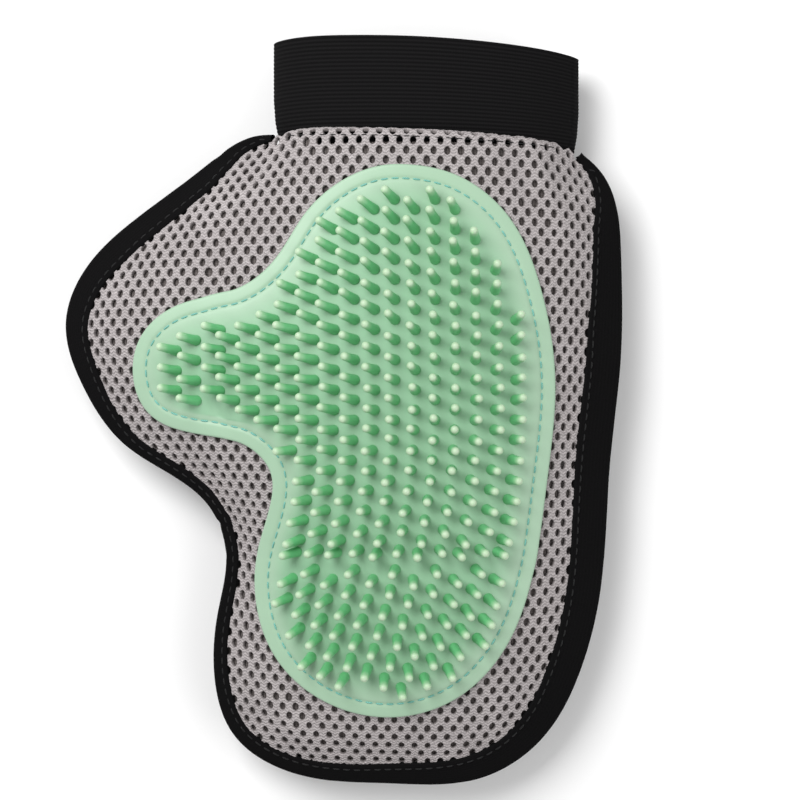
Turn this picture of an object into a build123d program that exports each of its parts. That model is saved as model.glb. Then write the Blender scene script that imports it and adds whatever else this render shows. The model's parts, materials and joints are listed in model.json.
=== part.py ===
"""A pet grooming mitt: a bound mesh mitten with a rubber pin pad sewn to its palm and an elastic cuff.

The mitt lies on its back with the pins up. +Z is out of the palm, +Y runs from the fingertips to
the wrist, and the thumb points to -X. The origin is under the middle of the mitt, on the surface
that it lies on. The fabric is soft, so it is cut into three stiff sections, hand, fingers and
thumb, which fold along two lines. Each fold is a V-shaped gap that opens above its hinge line.
Millimetres throughout.
"""

from build123d import *

import copy
import math
import os

import numpy as np

# ---- Driving dimensions ------------------------------------------------------------------------
BOUND_EDGE_POINTS = [  # outer edge of the binding, from the cuff round the thumb to the cuff again
    (-22.0, 88.8),
    (-31.5, 88.0),
    (-45.0, 79.0),
    (-69.5, 60.5),
    (-84.0, 45.5),
    (-89.9, 29.0),
    (-84.5, 8.8),
    (-70.5, -10.7),
    (-55.3, -20.4),
    (-43.6, -30.2),
    (-37.9, -46.5),
    (-40.7, -65.0),
    (-42.0, -83.0),
    (-35.8, -104.0),
    (-17.5, -116.2),
    (15.0, -119.8),
    (44.5, -118.0),
    (63.8, -105.4),
    (76.0, -83.8),
    (82.3, -59.5),
    (85.6, -17.0),
    (89.2, 18.5),
    (89.3, 49.5),
    (84.3, 75.3),
    (75.8, 83.4),
]
PAD_EDGE_POINTS = [  # outline of the rubber pad, anticlockwise from its wrist end
    (18.5, 77.5),
    (2.8, 74.0),
    (-11.7, 62.0),
    (-20.5, 48.5),
    (-32.0, 39.2),
    (-52.0, 33.8),
    (-64.2, 23.5),
    (-66.6, 12.8),
    (-62.2, 0.5),
    (-52.5, -5.2),
    (-31.0, -9.8),
    (-22.4, -18.8),
    (-22.9, -30.5),
    (-27.0, -46.0),
    (-27.3, -60.0),
    (-22.3, -76.0),
    (-10.0, -89.0),
    (14.0, -96.4),
    (35.5, -90.5),
    (51.0, -74.5),
    (58.5, -56.0),
    (64.0, -22.0),
    (66.6, 10.0),
    (62.0, 39.0),
    (51.0, 62.5),
    (36.0, 74.0),
]
THUMB_TIP = BOUND_EDGE_POINTS[5]
MOUTH_LEFT_Y = 91.3  # the mouth's edge, carried on beyond the mitt on each side
MOUTH_MIDDLE_Y = 88.8
MOUTH_RIGHT_Y = 82.9

FLANGE_WIDTH = 4.0  # flat sewn edge of the panels, inside the binding
RIM_HEIGHT = 15.5  # middle of the sewn edge above the table
PALM_RISE = 24.0  # the palm lining's highest point above the sewn edge
BACK_DROP = 13.2  # the back lining's lowest point below it

LINING_THICKNESS = 0.5
MESH_THICKNESS = 2.0
PAD_THICKNESS = 1.8
BINDING_THICKNESS = 0.9
BINDING_WIDTH = 9.0
CLEARANCE = 0.05  # between layers that lie on each other
SEAM_GAP = 0.3  # between the two linings at the sewn edge
PALM_ROUNDNESS = 0.6  # under 0.5 would stand upright at the sewn edge
BACK_ROUNDNESS = 0.5

CUFF_WIDTH = 100.0
CUFF_THICKNESS = 1.3
CUFF_TUCK = 8.0  # hidden inside the mouth
CUFF_TUCK_HALF_WIDTH = 42.0
CUFF_NOTCH_HALF_WIDTH = 34.0
CUFF_CLEARANCE = 1.2  # under the lining at the mouth
CUFF_TOP_LEFT = 117.4
CUFF_TOP_MIDDLE = 118.5
CUFF_TOP_RIGHT = 111.4
CUFF_TRIM = 5.0  # cut off above the top's curve
CUFF_SECTION_DEG = range(25, 156, 26)  # round the cuff's section, where it follows the mouth
CUFF_CORNER_CLEARANCE = 3.0  # past the mouth, where the cuff's notched corners clear the sewn edge
CUFF_SEAM_INSET = 3.0

PIN_LENGTH = 8.0
PIN_ROOT_RADIUS = 1.6
PIN_TIP_RADIUS = 1.3
PIN_SINK = 0.6  # root of each pin inside the pad that it is moulded with
PIN_COLUMN_PITCH = 6.2
PIN_ROW_PITCH = 6.22
PIN_EDGE_INSET = 9.6
PIN_COLUMN_BEND = 0.0019  # the columns curve towards the thumb below PIN_BEND_START
PIN_BEND_START = 8.0
PIN_LATTICE_ORIGIN = (41.3, 22.6)
PIN_COLUMNS = range(-20, 12)
PIN_ROWS = range(-22, 12)
PIN_UPRIGHT = (31.0, -15.0)  # the pins here stand straight up
PIN_UPRIGHT_SLANT = 0.22  # the line of upright pins slants towards the thumb
PIN_SPREAD_X = 0.13  # how far a tip leans out for each millimetre from the upright pins
PIN_SPREAD_Y = 0.045
PIN_LEAN_MOST = 6.0
PIN_FOLD_MARGIN = 7.0  # pins nearer to a fold than this are squeezed as it closes
PIN_FOLD_CLEARANCE = 2.4
BEARING_PIN_EVERY = 9  # one pin in this many carries the mitt when it lies on its pins

STITCH_INSET = 4.5  # the pad's seam, in from its edge
STITCH_LENGTH = 2.4
STITCH_PITCH = 3.3
STITCH_FOLD_MARGIN = 4.4  # no stitch is nearer to a fold than this
THREAD_RADIUS = 0.3
THREAD_SEAT = 0.48  # middle of a thread above the face that it lies on
BINDING_STITCH_INSET = 7.5

FINGER_FOLD_Y = -46.0
FINGER_FOLD_Z = 38.0
FINGER_FOLD_DEG = 45.0
THUMB_FOLD_X = -40.0
THUMB_FOLD_Z = 27.0
THUMB_FOLD_DEG = 35.0
FOLD_GAP = 0.5

GRID_STEP = 2.0  # spacing of the membrane grid
CELLS = 100  # half the membrane grid's side, in steps
MEMBRANE_ROUNDS = 6000  # enough for the membrane to settle
SMOOTHING_ROUNDS = 10
SURFACE_STEP = 6.0  # spacing of the points that a fabric surface passes through
SURFACE_X = (-96, 97)
SURFACE_Y = (-126, 97)
SURFACE_TOLERANCE = 0.2
REACH = 130.0  # beyond every edge of the mitt
INSET_POINTS = 40  # points along a curve that runs inside another


# ---- Outlines and regions ----------------------------------------------------------------------
def inset(points, distance, closed=False):
    """The smooth curve through the points, moved towards the inside of the mitt."""
    curve = Spline(*points, periodic=closed)
    if not distance:
        return curve
    shifted = []
    for t in np.linspace(0, 1, INSET_POINTS, endpoint=not closed):
        along = curve % t
        shifted.append(curve @ t + Vector(-along.Y, along.X) * distance)
    return Spline(*shifted, periodic=closed)


def bound_face(distance=0.0):
    """The mitt's outline, smaller by a distance, with straight sides beyond the mouth."""
    edge = inset(BOUND_EDGE_POINTS, distance)
    with BuildSketch() as sketch:
        with BuildLine():
            add(edge)
            Polyline(edge @ 1, ((edge @ 1).X, REACH), ((edge @ 0).X, REACH), edge @ 0)
        make_face()
    return sketch.sketch


def pad_face(distance=0.0):
    """The pad's outline, smaller by a distance."""
    edge = inset(PAD_EDGE_POINTS, distance, closed=True)
    with BuildSketch() as sketch:
        with BuildLine():
            add(edge)
        make_face()
    return sketch.sketch


def side_block(plane, points):
    """A block as wide as the mitt, from its outline seen from one side."""
    with BuildPart() as block:
        with BuildSketch(plane):
            with BuildLine():
                Polyline(*points, close=True)
            make_face()
        extrude(amount=REACH, both=True)
    return block.part


def fold_block(plane, fold_at, fold_z, fold_deg, sign):
    """Everything on one side of a fold, up to its half of the V-shaped gap above the hinge line."""
    near = fold_at + sign * FOLD_GAP / 2
    lean = sign * (REACH - fold_z) * math.tan(math.radians(fold_deg / 2))
    far = sign * 2 * REACH
    outline = [(near, -REACH), (near, fold_z), (near + lean, REACH), (far, REACH), (far, -REACH)]
    return side_block(plane, outline)


mouth_left = (-REACH, MOUTH_LEFT_Y)
mouth_right = (REACH, MOUTH_RIGHT_Y)
mouth_middle = ((BOUND_EDGE_POINTS[0][0] + BOUND_EDGE_POINTS[-1][0]) / 2, MOUTH_MIDDLE_Y)
with BuildPart() as below_mouth:
    with BuildSketch(Plane.XY):
        with BuildLine():
            ThreePointArc(mouth_right, mouth_middle, mouth_left)
            Polyline(mouth_left, (-REACH, -REACH), (REACH, -REACH), mouth_right)
        make_face()
    extrude(amount=REACH)

finger_fold = (Plane.YZ, FINGER_FOLD_Y, FINGER_FOLD_Z, FINGER_FOLD_DEG)
thumb_fold = (Plane.XZ, THUMB_FOLD_X, THUMB_FOLD_Z, THUMB_FOLD_DEG)
with BuildPart() as hand_region:
    add(fold_block(*finger_fold, 1))
    add(fold_block(*thumb_fold, 1), mode=Mode.INTERSECT)
    add(below_mouth.part, mode=Mode.INTERSECT)
with BuildPart() as thumb_region:
    add(fold_block(*finger_fold, 1))
    add(fold_block(*thumb_fold, -1), mode=Mode.INTERSECT)
    add(below_mouth.part, mode=Mode.INTERSECT)
REGIONS = {
    "hand": hand_region.part,
    "fingers": fold_block(*finger_fold, -1),
    "thumb": thumb_region.part,
}


# ---- The shape of the filled mitt --------------------------------------------------------------
def inside(outline, x, y):
    """Whether each grid point lies inside the closed outline."""
    hit = np.zeros(x.shape, bool)
    for (x1, y1), (x2, y2) in zip(outline, np.roll(outline, -1, axis=0)):
        if y1 != y2:
            crosses = (y1 > y) != (y2 > y)
            hit ^= crosses & (x < (x2 - x1) * (y - y1) / (y2 - y1) + x1)
    return hit


def membrane():
    """Height from 0 to 1 of a sheet fixed at the sewn edge, open at the mouth and blown up."""
    line = GRID_STEP * (np.arange(2 * CELLS + 1) - CELLS)
    x, y = np.meshgrid(line, line, indexing="ij")
    edge = bound_face(FLANGE_WIDTH).face().outer_wire()
    outline = np.array([tuple(edge @ t)[:2] for t in np.linspace(0, 1, 600, endpoint=False)])
    free = inside(outline, x, y) & (y < mouth_middle[1])
    mouth_row = int((mouth_middle[1] - line[0]) / GRID_STEP)
    height = np.zeros(x.shape)
    for _ in range(MEMBRANE_ROUNDS):
        height[:, mouth_row + 1] = height[:, mouth_row]
        neighbours = np.roll(height, 1, 0) + np.roll(height, -1, 0)
        neighbours += np.roll(height, 1, 1) + np.roll(height, -1, 1)
        height = np.where(free, neighbours / 4 + 1, 0)
    for row in range(mouth_row + 1, 2 * CELLS + 1):
        height[:, row] = height[:, mouth_row]
    return line, height / height.max()


def smooth(height):
    """The height after averaging with its neighbours a few times."""
    for _ in range(SMOOTHING_ROUNDS):
        for axis in (0, 1):
            height = (np.roll(height, 1, axis) + 2 * height + np.roll(height, -1, axis)) / 4
    return height


grid_line, fullness = membrane()
palm_height = RIM_HEIGHT + SEAM_GAP / 2 + PALM_RISE * smooth(fullness**PALM_ROUNDNESS)
back_height = RIM_HEIGHT - SEAM_GAP / 2 - BACK_DROP * smooth(fullness**BACK_ROUNDNESS)


def height_at(height, x, y):
    """A surface's height at one point, between its grid values."""
    i, u = divmod((x - grid_line[0]) / GRID_STEP, 1)
    j, v = divmod((y - grid_line[0]) / GRID_STEP, 1)
    i, j = int(i), int(j)
    low = height[i, j] * (1 - u) + height[i + 1, j] * u
    high = height[i, j + 1] * (1 - u) + height[i + 1, j + 1] * u
    return low * (1 - v) + high * v


def surface(height):
    """A smooth face through the height field."""
    rows = [
        [(x, y, height_at(height, x, y)) for y in np.arange(*SURFACE_Y, SURFACE_STEP)]
        for x in np.arange(*SURFACE_X, SURFACE_STEP)
    ]
    return Face.make_surface_from_array_of_points(rows, tol=SURFACE_TOLERANCE)


palm_surface = surface(palm_height)
back_surface = surface(back_height)
MESH_START = LINING_THICKNESS + CLEARANCE
PAD_START = MESH_START + MESH_THICKNESS + CLEARANCE
PAD_TOP = PAD_START + PAD_THICKNESS


def prism(outline):
    """A tall block over an outline."""
    with BuildPart() as block:
        add(outline)
        extrude(amount=REACH)
    return block.part


def sheet(face, start, thickness, outline, region):
    """A panel of even height over a surface, or under it where the start and thickness are negative."""
    with BuildPart() as panel:
        extrude(Location((0, 0, start)) * face, amount=thickness, dir=(0, 0, 1))
        add(prism(outline), mode=Mode.INTERSECT)
        add(region, mode=Mode.INTERSECT)
    return panel.part


def below_mouth_edge(x):
    """How far towards the wrist the mitt reaches at one place across it."""
    left, right = mouth_left[1], mouth_right[1]
    sag = mouth_middle[1] - (left + right) / 2
    share = (x + REACH) / (2 * REACH)
    return left + (right - left) * share + sag * (1 - ((x - mouth_middle[0]) / REACH) ** 2)


def edge_band(width):
    """The mitt's outline, as a band along its inner side."""
    with BuildSketch() as band:
        add(bound_face())
        add(bound_face(width), mode=Mode.SUBTRACT)
    return band.sketch


def edge_wall(region):
    """The tape's wall round the mitt's edge, tall enough to meet the legs at the tip of the thumb."""
    half_height = height_at(palm_height, *THUMB_TIP) - RIM_HEIGHT + PAD_START + BINDING_THICKNESS / 2
    with BuildPart() as wall:
        with BuildSketch(Plane.XY.offset(RIM_HEIGHT - half_height)):
            add(edge_band(BINDING_THICKNESS))
        extrude(amount=2 * half_height)
        add(region, mode=Mode.INTERSECT)
    return wall.part


def binding(region):
    """Tape folded over the sewn edge: a leg on the palm, a wall round the edge and a leg on the back."""
    legs = edge_band(BINDING_WIDTH)
    with BuildPart() as tape:
        add(sheet(palm_surface, PAD_START, BINDING_THICKNESS, legs, region))
        add(sheet(back_surface, -PAD_START, -BINDING_THICKNESS, legs, region))
        add(edge_wall(region))
    return tape.part


def along(curve, spacing):
    """Points evenly spaced along a curve, each with its direction."""
    for t in np.linspace(0, 1, int(curve.length / spacing), endpoint=False):
        yield curve @ t, curve % t


def section_of(x, y, margin=0.0):
    """The section that a point belongs to, or None inside the gap between two sections."""
    if abs(y - FINGER_FOLD_Y) < margin:
        return None
    if y < FINGER_FOLD_Y:
        return "fingers"
    if abs(x - THUMB_FOLD_X) < margin:
        return None
    return "hand" if x > THUMB_FOLD_X else "thumb"


with BuildPart() as one_stitch:
    with Locations(Rotation(0, 90, 0)):
        Cylinder(THREAD_RADIUS, STITCH_LENGTH)


def stitch_places(curve, lift):
    """Where the stitches of a seam lie on the palm, by section."""
    places = {name: [] for name in REGIONS}
    for point, direction in along(curve, STITCH_PITCH):
        section = section_of(point.X, point.Y, margin=STITCH_FOLD_MARGIN)
        if section is None or not below_mouth.part.is_inside((point.X, point.Y, 1)):
            continue
        ends = [point + direction * (side * STITCH_LENGTH / 2) for side in (-1, 1)]
        low, high = (height_at(palm_height, end.X, end.Y) for end in ends)
        middle = max(height_at(palm_height, point.X, point.Y), (low + high) / 2)
        run = Vector(direction.X * STITCH_LENGTH, direction.Y * STITCH_LENGTH, high - low)
        origin = (point.X, point.Y, middle + lift + THREAD_SEAT)
        upward = run.cross(Vector(-direction.Y, direction.X, 0))
        places[section].append(Plane(origin, x_dir=run, z_dir=upward))
    return places


def clear_of(place, fold):
    """A pin's place, moved off a fold where its root would bridge the gap."""
    offset_from_fold = place - fold
    if abs(offset_from_fold) >= PIN_FOLD_CLEARANCE:
        return place
    return fold + math.copysign(PIN_FOLD_CLEARANCE, offset_from_fold)


def pin_places():
    """Where the pins stand on the pad: the further from the upright ones, the more they lean out."""
    planted = pad_face(PIN_EDGE_INSET).face()
    for column in PIN_COLUMNS:
        for row in PIN_ROWS:
            y = PIN_LATTICE_ORIGIN[1] + PIN_ROW_PITCH * (row + 0.5 * (column % 2))
            bend = PIN_COLUMN_BEND * min(y - PIN_BEND_START, 0) ** 2
            x = PIN_LATTICE_ORIGIN[0] + PIN_COLUMN_PITCH * column - bend
            if not planted.is_inside((x, y, 0)):
                continue
            y = clear_of(y, FINGER_FOLD_Y)
            if y > FINGER_FOLD_Y:
                x = clear_of(x, THUMB_FOLD_X)
            foot = (x, y, height_at(palm_height, x, y) + PAD_TOP - PIN_SINK)
            lean_x = PIN_SPREAD_X * (x - PIN_UPRIGHT[0] - PIN_UPRIGHT_SLANT * (y - PIN_UPRIGHT[1]))
            lean_x = min(max(lean_x, -PIN_LEAN_MOST), PIN_LEAN_MOST)
            lean_y = PIN_SPREAD_Y * (y - PIN_UPRIGHT[1])
            rise = math.sqrt(PIN_LENGTH**2 - lean_x**2 - lean_y**2)
            yield x, y, Plane(foot, z_dir=(lean_x, lean_y, rise))


with BuildPart() as one_pin:
    with BuildSketch(Plane.XZ):
        with BuildLine():
            tip = PIN_LENGTH + PIN_SINK
            shoulder = (PIN_TIP_RADIUS, tip - PIN_TIP_RADIUS)
            Polyline((0, tip), (0, 0), (PIN_ROOT_RADIUS, 0), shoulder)
            RadiusArc(shoulder, (0, tip), -PIN_TIP_RADIUS)
        make_face()
    revolve(axis=Axis.Z)


def group(piece, places):
    """Separate copies of a small piece, one at each place."""
    return Compound(children=[copy.copy(piece).moved(Location(place)) for place in places])


def write(name, part):
    """Label a finished piece and write it to its own file."""
    part.label = name
    export_step(part, f"parts/{name}.step")
    print(f"{name:28s}{len(part.solids()):4d} solids {part.volume / 1000:8.2f} cm3")


# ---- Sub-parts -----------------------------------------------------------------------------------
os.makedirs("parts", exist_ok=True)
panel_face = bound_face(BINDING_THICKNESS + CLEARANCE)
pad_seam = inset(PAD_EDGE_POINTS, STITCH_INSET, closed=True)
binding_seam = inset(BOUND_EDGE_POINTS, BINDING_STITCH_INSET)
pad_stitches = stitch_places(pad_seam, PAD_TOP)
binding_stitches = stitch_places(binding_seam, PAD_START + BINDING_THICKNESS)

for section, region in REGIONS.items():
    with BuildPart() as palm_lining:
        add(sheet(palm_surface, 0, LINING_THICKNESS, panel_face, region))
    write(f"palm_lining_{section}", palm_lining.part)

    with BuildPart() as palm_mesh:
        add(sheet(palm_surface, MESH_START, MESH_THICKNESS, panel_face, region))
    write(f"palm_mesh_{section}", palm_mesh.part)

    with BuildPart() as back_lining:
        add(sheet(back_surface, 0, -LINING_THICKNESS, panel_face, region))
    write(f"back_lining_{section}", back_lining.part)

    with BuildPart() as back_mesh:
        add(sheet(back_surface, -MESH_START, -MESH_THICKNESS, panel_face, region))
        split(bisect_by=Plane.XY, keep=Keep.TOP)
    write(f"back_mesh_{section}", back_mesh.part)

    with BuildPart() as rubber_pad:
        add(sheet(palm_surface, PAD_START, PAD_THICKNESS, pad_face(), region))
    write(f"rubber_pad_{section}", rubber_pad.part)

    with BuildPart() as edge_binding:
        add(binding(region))
    write(f"edge_binding_{section}", edge_binding.part)

    write(f"pad_stitching_{section}", group(one_stitch.part, pad_stitches[section]))
    write(f"binding_stitching_{section}", group(one_stitch.part, binding_stitches[section]))

pins = {}
for x, y, place in pin_places():
    section = section_of(x, y)
    near_fold = section_of(x, y, margin=PIN_FOLD_MARGIN) is None
    kind = "fold_pins" if near_fold else "grooming_pins"
    pins.setdefault(f"{kind}_{section}", []).append(place)
for name, places in list(pins.items()):
    if name.startswith("grooming_pins"):
        pins[name.replace("grooming", "bearing")] = places[::BEARING_PIN_EVERY]
        pins[name] = [place for i, place in enumerate(places) if i % BEARING_PIN_EVERY]
for name, places in pins.items():
    write(name, group(one_pin.part, places))


cuff_foot = BOUND_EDGE_POINTS[-1][1] - CUFF_TUCK
cuff_corner = BOUND_EDGE_POINTS[0][1] + CUFF_CORNER_CLEARANCE


def cuff_section(wall):
    """The cuff's outline across the arm, as full as the mouth, smaller by a wall's thickness."""
    top, bottom = [], []
    for angle in CUFF_SECTION_DEG:
        x = mouth_middle[0] + math.cos(math.radians(angle)) * (CUFF_TUCK_HALF_WIDTH - wall)
        top.append((x, height_at(palm_height, x, cuff_foot) - CUFF_CLEARANCE - wall))
        bottom.append((x, height_at(back_height, x, cuff_foot) + CUFF_CLEARANCE + wall))
    left = (mouth_middle[0] - CUFF_WIDTH / 2 + wall, RIM_HEIGHT)
    right = (mouth_middle[0] + CUFF_WIDTH / 2 - wall, RIM_HEIGHT)
    with BuildSketch(Plane.XZ) as outline:
        with BuildLine():
            Spline(right, *top, left, *reversed(bottom), periodic=True)
        make_face()
    return outline.sketch


with BuildPart() as below_cuff_top:
    with BuildSketch(Plane.XY):
        with BuildLine():
            left, right = (-REACH, CUFF_TOP_LEFT), (REACH, CUFF_TOP_RIGHT)
            ThreePointArc(right, (mouth_middle[0], CUFF_TOP_MIDDLE), left)
            Polyline(left, (-REACH, 0), (REACH, 0), right)
        make_face()
    extrude(amount=REACH)

with BuildPart() as wrist_elastic:
    with BuildSketch(Plane.XZ.offset(-cuff_foot)):
        add(cuff_section(0))
        add(cuff_section(CUFF_THICKNESS), mode=Mode.SUBTRACT)
    extrude(amount=cuff_foot - CUFF_TOP_MIDDLE - CUFF_TRIM)
    for side, align in ((-1, Align.MAX), (1, Align.MIN)):
        with Locations((mouth_middle[0] + side * CUFF_NOTCH_HALF_WIDTH, cuff_corner, 0)):
            Box(REACH, REACH, REACH, align=(align, Align.MAX, Align.CENTER), mode=Mode.SUBTRACT)
    add(below_cuff_top.part, mode=Mode.INTERSECT)
write("wrist_elastic", wrist_elastic.part)

cuff_stitches = []
for offset_x in np.arange(-CUFF_TUCK_HALF_WIDTH, CUFF_TUCK_HALF_WIDTH, STITCH_PITCH):
    x = mouth_middle[0] + offset_x
    y = below_mouth_edge(x) - CUFF_SEAM_INSET
    z = height_at(palm_height, x, y) + PAD_START + THREAD_SEAT
    slope = (height_at(palm_height, x + 1, y) - height_at(palm_height, x - 1, y)) / 2
    cuff_stitches.append(Plane((x, y, z), x_dir=(1, 0, slope), z_dir=(-slope, 0, 1)))
write("cuff_stitching", group(one_stitch.part, cuff_stitches))
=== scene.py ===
"""The looks of a pet grooming mitt: perforated mesh panels, a rubber pin pad, bound edges and a ribbed cuff.

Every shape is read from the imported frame: the heights of the two panels, the outlines of the pad and
of the bound edge, and each pin's place and lean. Lengths are in metres.
"""

import sys

import json
import logging
import math
from collections.abc import Iterator
from dataclasses import dataclass, field
from enum import Enum

import bpy
import numpy as np
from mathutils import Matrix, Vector
from mathutils.bvhtree import BVHTree

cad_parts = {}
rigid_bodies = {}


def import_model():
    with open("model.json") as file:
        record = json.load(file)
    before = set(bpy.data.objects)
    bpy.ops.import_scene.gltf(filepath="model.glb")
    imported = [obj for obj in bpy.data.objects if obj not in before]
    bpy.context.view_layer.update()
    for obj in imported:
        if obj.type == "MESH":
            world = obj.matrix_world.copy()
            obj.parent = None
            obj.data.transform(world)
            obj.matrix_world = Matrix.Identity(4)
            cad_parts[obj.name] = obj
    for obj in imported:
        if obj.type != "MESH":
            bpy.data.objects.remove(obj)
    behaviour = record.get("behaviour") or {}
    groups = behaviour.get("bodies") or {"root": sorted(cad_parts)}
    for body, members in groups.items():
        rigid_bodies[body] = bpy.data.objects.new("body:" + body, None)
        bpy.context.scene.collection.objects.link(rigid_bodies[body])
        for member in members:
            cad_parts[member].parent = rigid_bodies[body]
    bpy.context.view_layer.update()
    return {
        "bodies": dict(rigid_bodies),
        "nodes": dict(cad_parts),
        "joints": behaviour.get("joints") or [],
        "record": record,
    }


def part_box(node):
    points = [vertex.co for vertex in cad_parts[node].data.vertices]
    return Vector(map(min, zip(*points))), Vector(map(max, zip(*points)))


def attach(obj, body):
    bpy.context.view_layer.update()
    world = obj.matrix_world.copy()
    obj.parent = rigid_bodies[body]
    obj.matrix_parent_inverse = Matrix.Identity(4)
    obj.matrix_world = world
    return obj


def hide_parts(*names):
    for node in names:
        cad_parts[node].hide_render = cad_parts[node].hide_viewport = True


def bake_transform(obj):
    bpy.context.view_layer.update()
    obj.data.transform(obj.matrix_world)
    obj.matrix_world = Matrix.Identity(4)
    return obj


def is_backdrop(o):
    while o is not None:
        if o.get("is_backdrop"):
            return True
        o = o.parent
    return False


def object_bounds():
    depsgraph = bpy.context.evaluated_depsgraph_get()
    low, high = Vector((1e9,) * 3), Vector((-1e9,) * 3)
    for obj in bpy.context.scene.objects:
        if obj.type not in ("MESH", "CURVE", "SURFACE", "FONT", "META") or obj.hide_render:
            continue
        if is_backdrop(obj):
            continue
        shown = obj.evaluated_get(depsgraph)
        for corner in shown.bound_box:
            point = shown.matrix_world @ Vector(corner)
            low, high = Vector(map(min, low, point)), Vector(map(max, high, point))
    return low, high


LOG = logging.getLogger("grooming_mitt")
MM = 0.001
SEED = 7


class Side(Enum):
    """The two panels of the mitt, by the direction that they face."""

    PALM = 1
    BACK = -1


class Part(Enum):
    """The two stretches that each piece is split into, so that each crosses one fold."""

    MAIN = "main"
    THUMB = "thumb"

    @property
    def bodies(self) -> tuple[str, ...]:
        """The bodies whose CAD nodes the stretch stands for."""
        return ("hand", "fingers") if self is Part.MAIN else ("thumb",)


# ---- Shader building -----------------------------------------------------------------------------
class Value:
    """A socket that holds a number, with the arithmetic operators written as Math nodes."""

    def __init__(self, shader: "Shader", socket: bpy.types.NodeSocket) -> None:
        """Wrap a socket of one shader."""
        self.shader = shader
        self.socket = socket

    def _math(self, operation: str, first: object, second: object) -> "Value":
        """Add a Math node for one operation on two operands."""
        node = self.shader.node("ShaderNodeMath", {"operation": operation}, {0: first, 1: second})
        return Value(self.shader, node.outputs[0])

    def __add__(self, other: object) -> "Value":
        """Sum."""
        return self._math("ADD", self, other)

    __radd__ = __add__

    def __mul__(self, other: object) -> "Value":
        """Product."""
        return self._math("MULTIPLY", self, other)

    __rmul__ = __mul__

    def __sub__(self, other: object) -> "Value":
        """Difference."""
        return self._math("SUBTRACT", self, other)

    def __rsub__(self, other: object) -> "Value":
        """Difference, with this value taken from the other."""
        return self._math("SUBTRACT", other, self)

    def sine(self) -> "Value":
        """Sine of the value in radians."""
        return self._math("SINE", self, 0.0)

    def clamped(self) -> "Value":
        """The value kept between 0 and 1."""
        return self._math("MINIMUM", self._math("MAXIMUM", self, 0.0), 1.0)


class Shader:
    """One material with a Principled shader, built node by node."""

    def __init__(self, name: str, roughness: float, **constants: float) -> None:
        """Start a material.

        Args:
            name: the material's name.
            roughness: the shader's own roughness.
            constants: other sockets of the shader, by name with _ for spaces.
        """
        self.material = bpy.data.materials.new(name)
        self.material.use_nodes = True
        self.tree = self.material.node_tree
        self.principled = self.tree.nodes["Principled BSDF"]
        self.principled.inputs["Roughness"].default_value = roughness
        for key, value in constants.items():
            self.principled.inputs[key.replace("_", " ")].default_value = value

    def node(self, kind: str, settings: dict | None = None, sockets: dict | None = None) -> bpy.types.Node:
        """Add a node.

        Args:
            kind: the node's type.
            settings: its own properties, set before its sockets.
            sockets: values or links for its inputs, by name or number.

        Returns:
            The new node.
        """
        made = self.tree.nodes.new(kind)
        for key, value in (settings or {}).items():
            if key == "stops":
                self._set_stops(made.color_ramp, value)
            else:
                setattr(made, key, value)
        for key, value in (sockets or {}).items():
            self._feed(made.inputs[key], value)
        return made

    def _set_stops(self, ramp: bpy.types.ColorRamp, stops: list) -> None:
        """Give a colour ramp its stops, each a place and a grey level."""
        while len(ramp.elements) < len(stops):
            ramp.elements.new(0.5)
        for element, (place, level) in zip(ramp.elements, stops):
            element.position = place
            element.color = (level, level, level, 1.0)

    def _feed(self, socket: bpy.types.NodeSocket, value: object) -> None:
        """Link or set one input."""
        if isinstance(value, Value):
            value = value.socket
        if isinstance(value, bpy.types.NodeSocket):
            self.tree.links.new(value, socket)
        else:
            socket.default_value = value

    def place(self) -> bpy.types.NodeSocket:
        """The object coordinates, in metres."""
        return self.node("ShaderNodeTexCoord").outputs["Object"]

    def flat(self) -> bpy.types.NodeSocket:
        """The coordinates on the flat cloth, in metres."""
        return self.node("ShaderNodeUVMap", {"uv_map": "flat"}).outputs["UV"]

    def axis(self, vector: bpy.types.NodeSocket, name: str) -> Value:
        """One component of a vector."""
        return Value(self, self.node("ShaderNodeSeparateXYZ", None, {0: vector}).outputs[name])

    def noise(self, vector: bpy.types.NodeSocket, scale: float, detail: float = 2.0) -> Value:
        """Smooth noise from 0 to 1."""
        made = self.node("ShaderNodeTexNoise", None, {"Vector": vector, "Scale": scale, "Detail": detail})
        return Value(self, made.outputs["Fac"])

    def ramp(self, value: Value, stops: list) -> Value:
        """The value after a ramp of grey levels."""
        made = self.node("ShaderNodeValToRGB", {"stops": stops}, {"Fac": value})
        return Value(self, made.outputs["Color"])

    def attribute(self, name: str) -> Value:
        """A number stored on the mesh."""
        return Value(self, self.node("ShaderNodeAttribute", {"attribute_name": name}).outputs["Fac"])

    def blend(self, share: object, first: object, second: object) -> bpy.types.NodeSocket:
        """Mix two colours.

        Args:
            share: how much of the second colour, from 0 to 1.
            first: the first colour, as a tuple or a socket.
            second: the second colour.

        Returns:
            The mixed colour's socket.
        """
        made = self.node("ShaderNodeMix", {"data_type": "RGBA"}, {0: share})
        self._feed(made.inputs[6], first)
        self._feed(made.inputs[7], second)
        return made.outputs[2]

    def colour(self, value: object) -> None:
        """Feed the base colour."""
        self._feed(self.principled.inputs["Base Color"], value)

    def rough(self, value: Value) -> None:
        """Feed the roughness."""
        self._feed(self.principled.inputs["Roughness"], value)

    def bump(self, height: Value, depth: float, strength: float = 1.0) -> None:
        """Feed the normal from a height from 0 to 1 over a depth in metres."""
        sockets = {"Height": height, "Distance": depth, "Strength": strength}
        made = self.node("ShaderNodeBump", None, sockets)
        self._feed(self.principled.inputs["Normal"], made.outputs["Normal"])


def rgb(red: float, green: float, blue: float) -> tuple[float, float, float, float]:
    """An opaque colour."""
    return (red, green, blue, 1.0)


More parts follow.
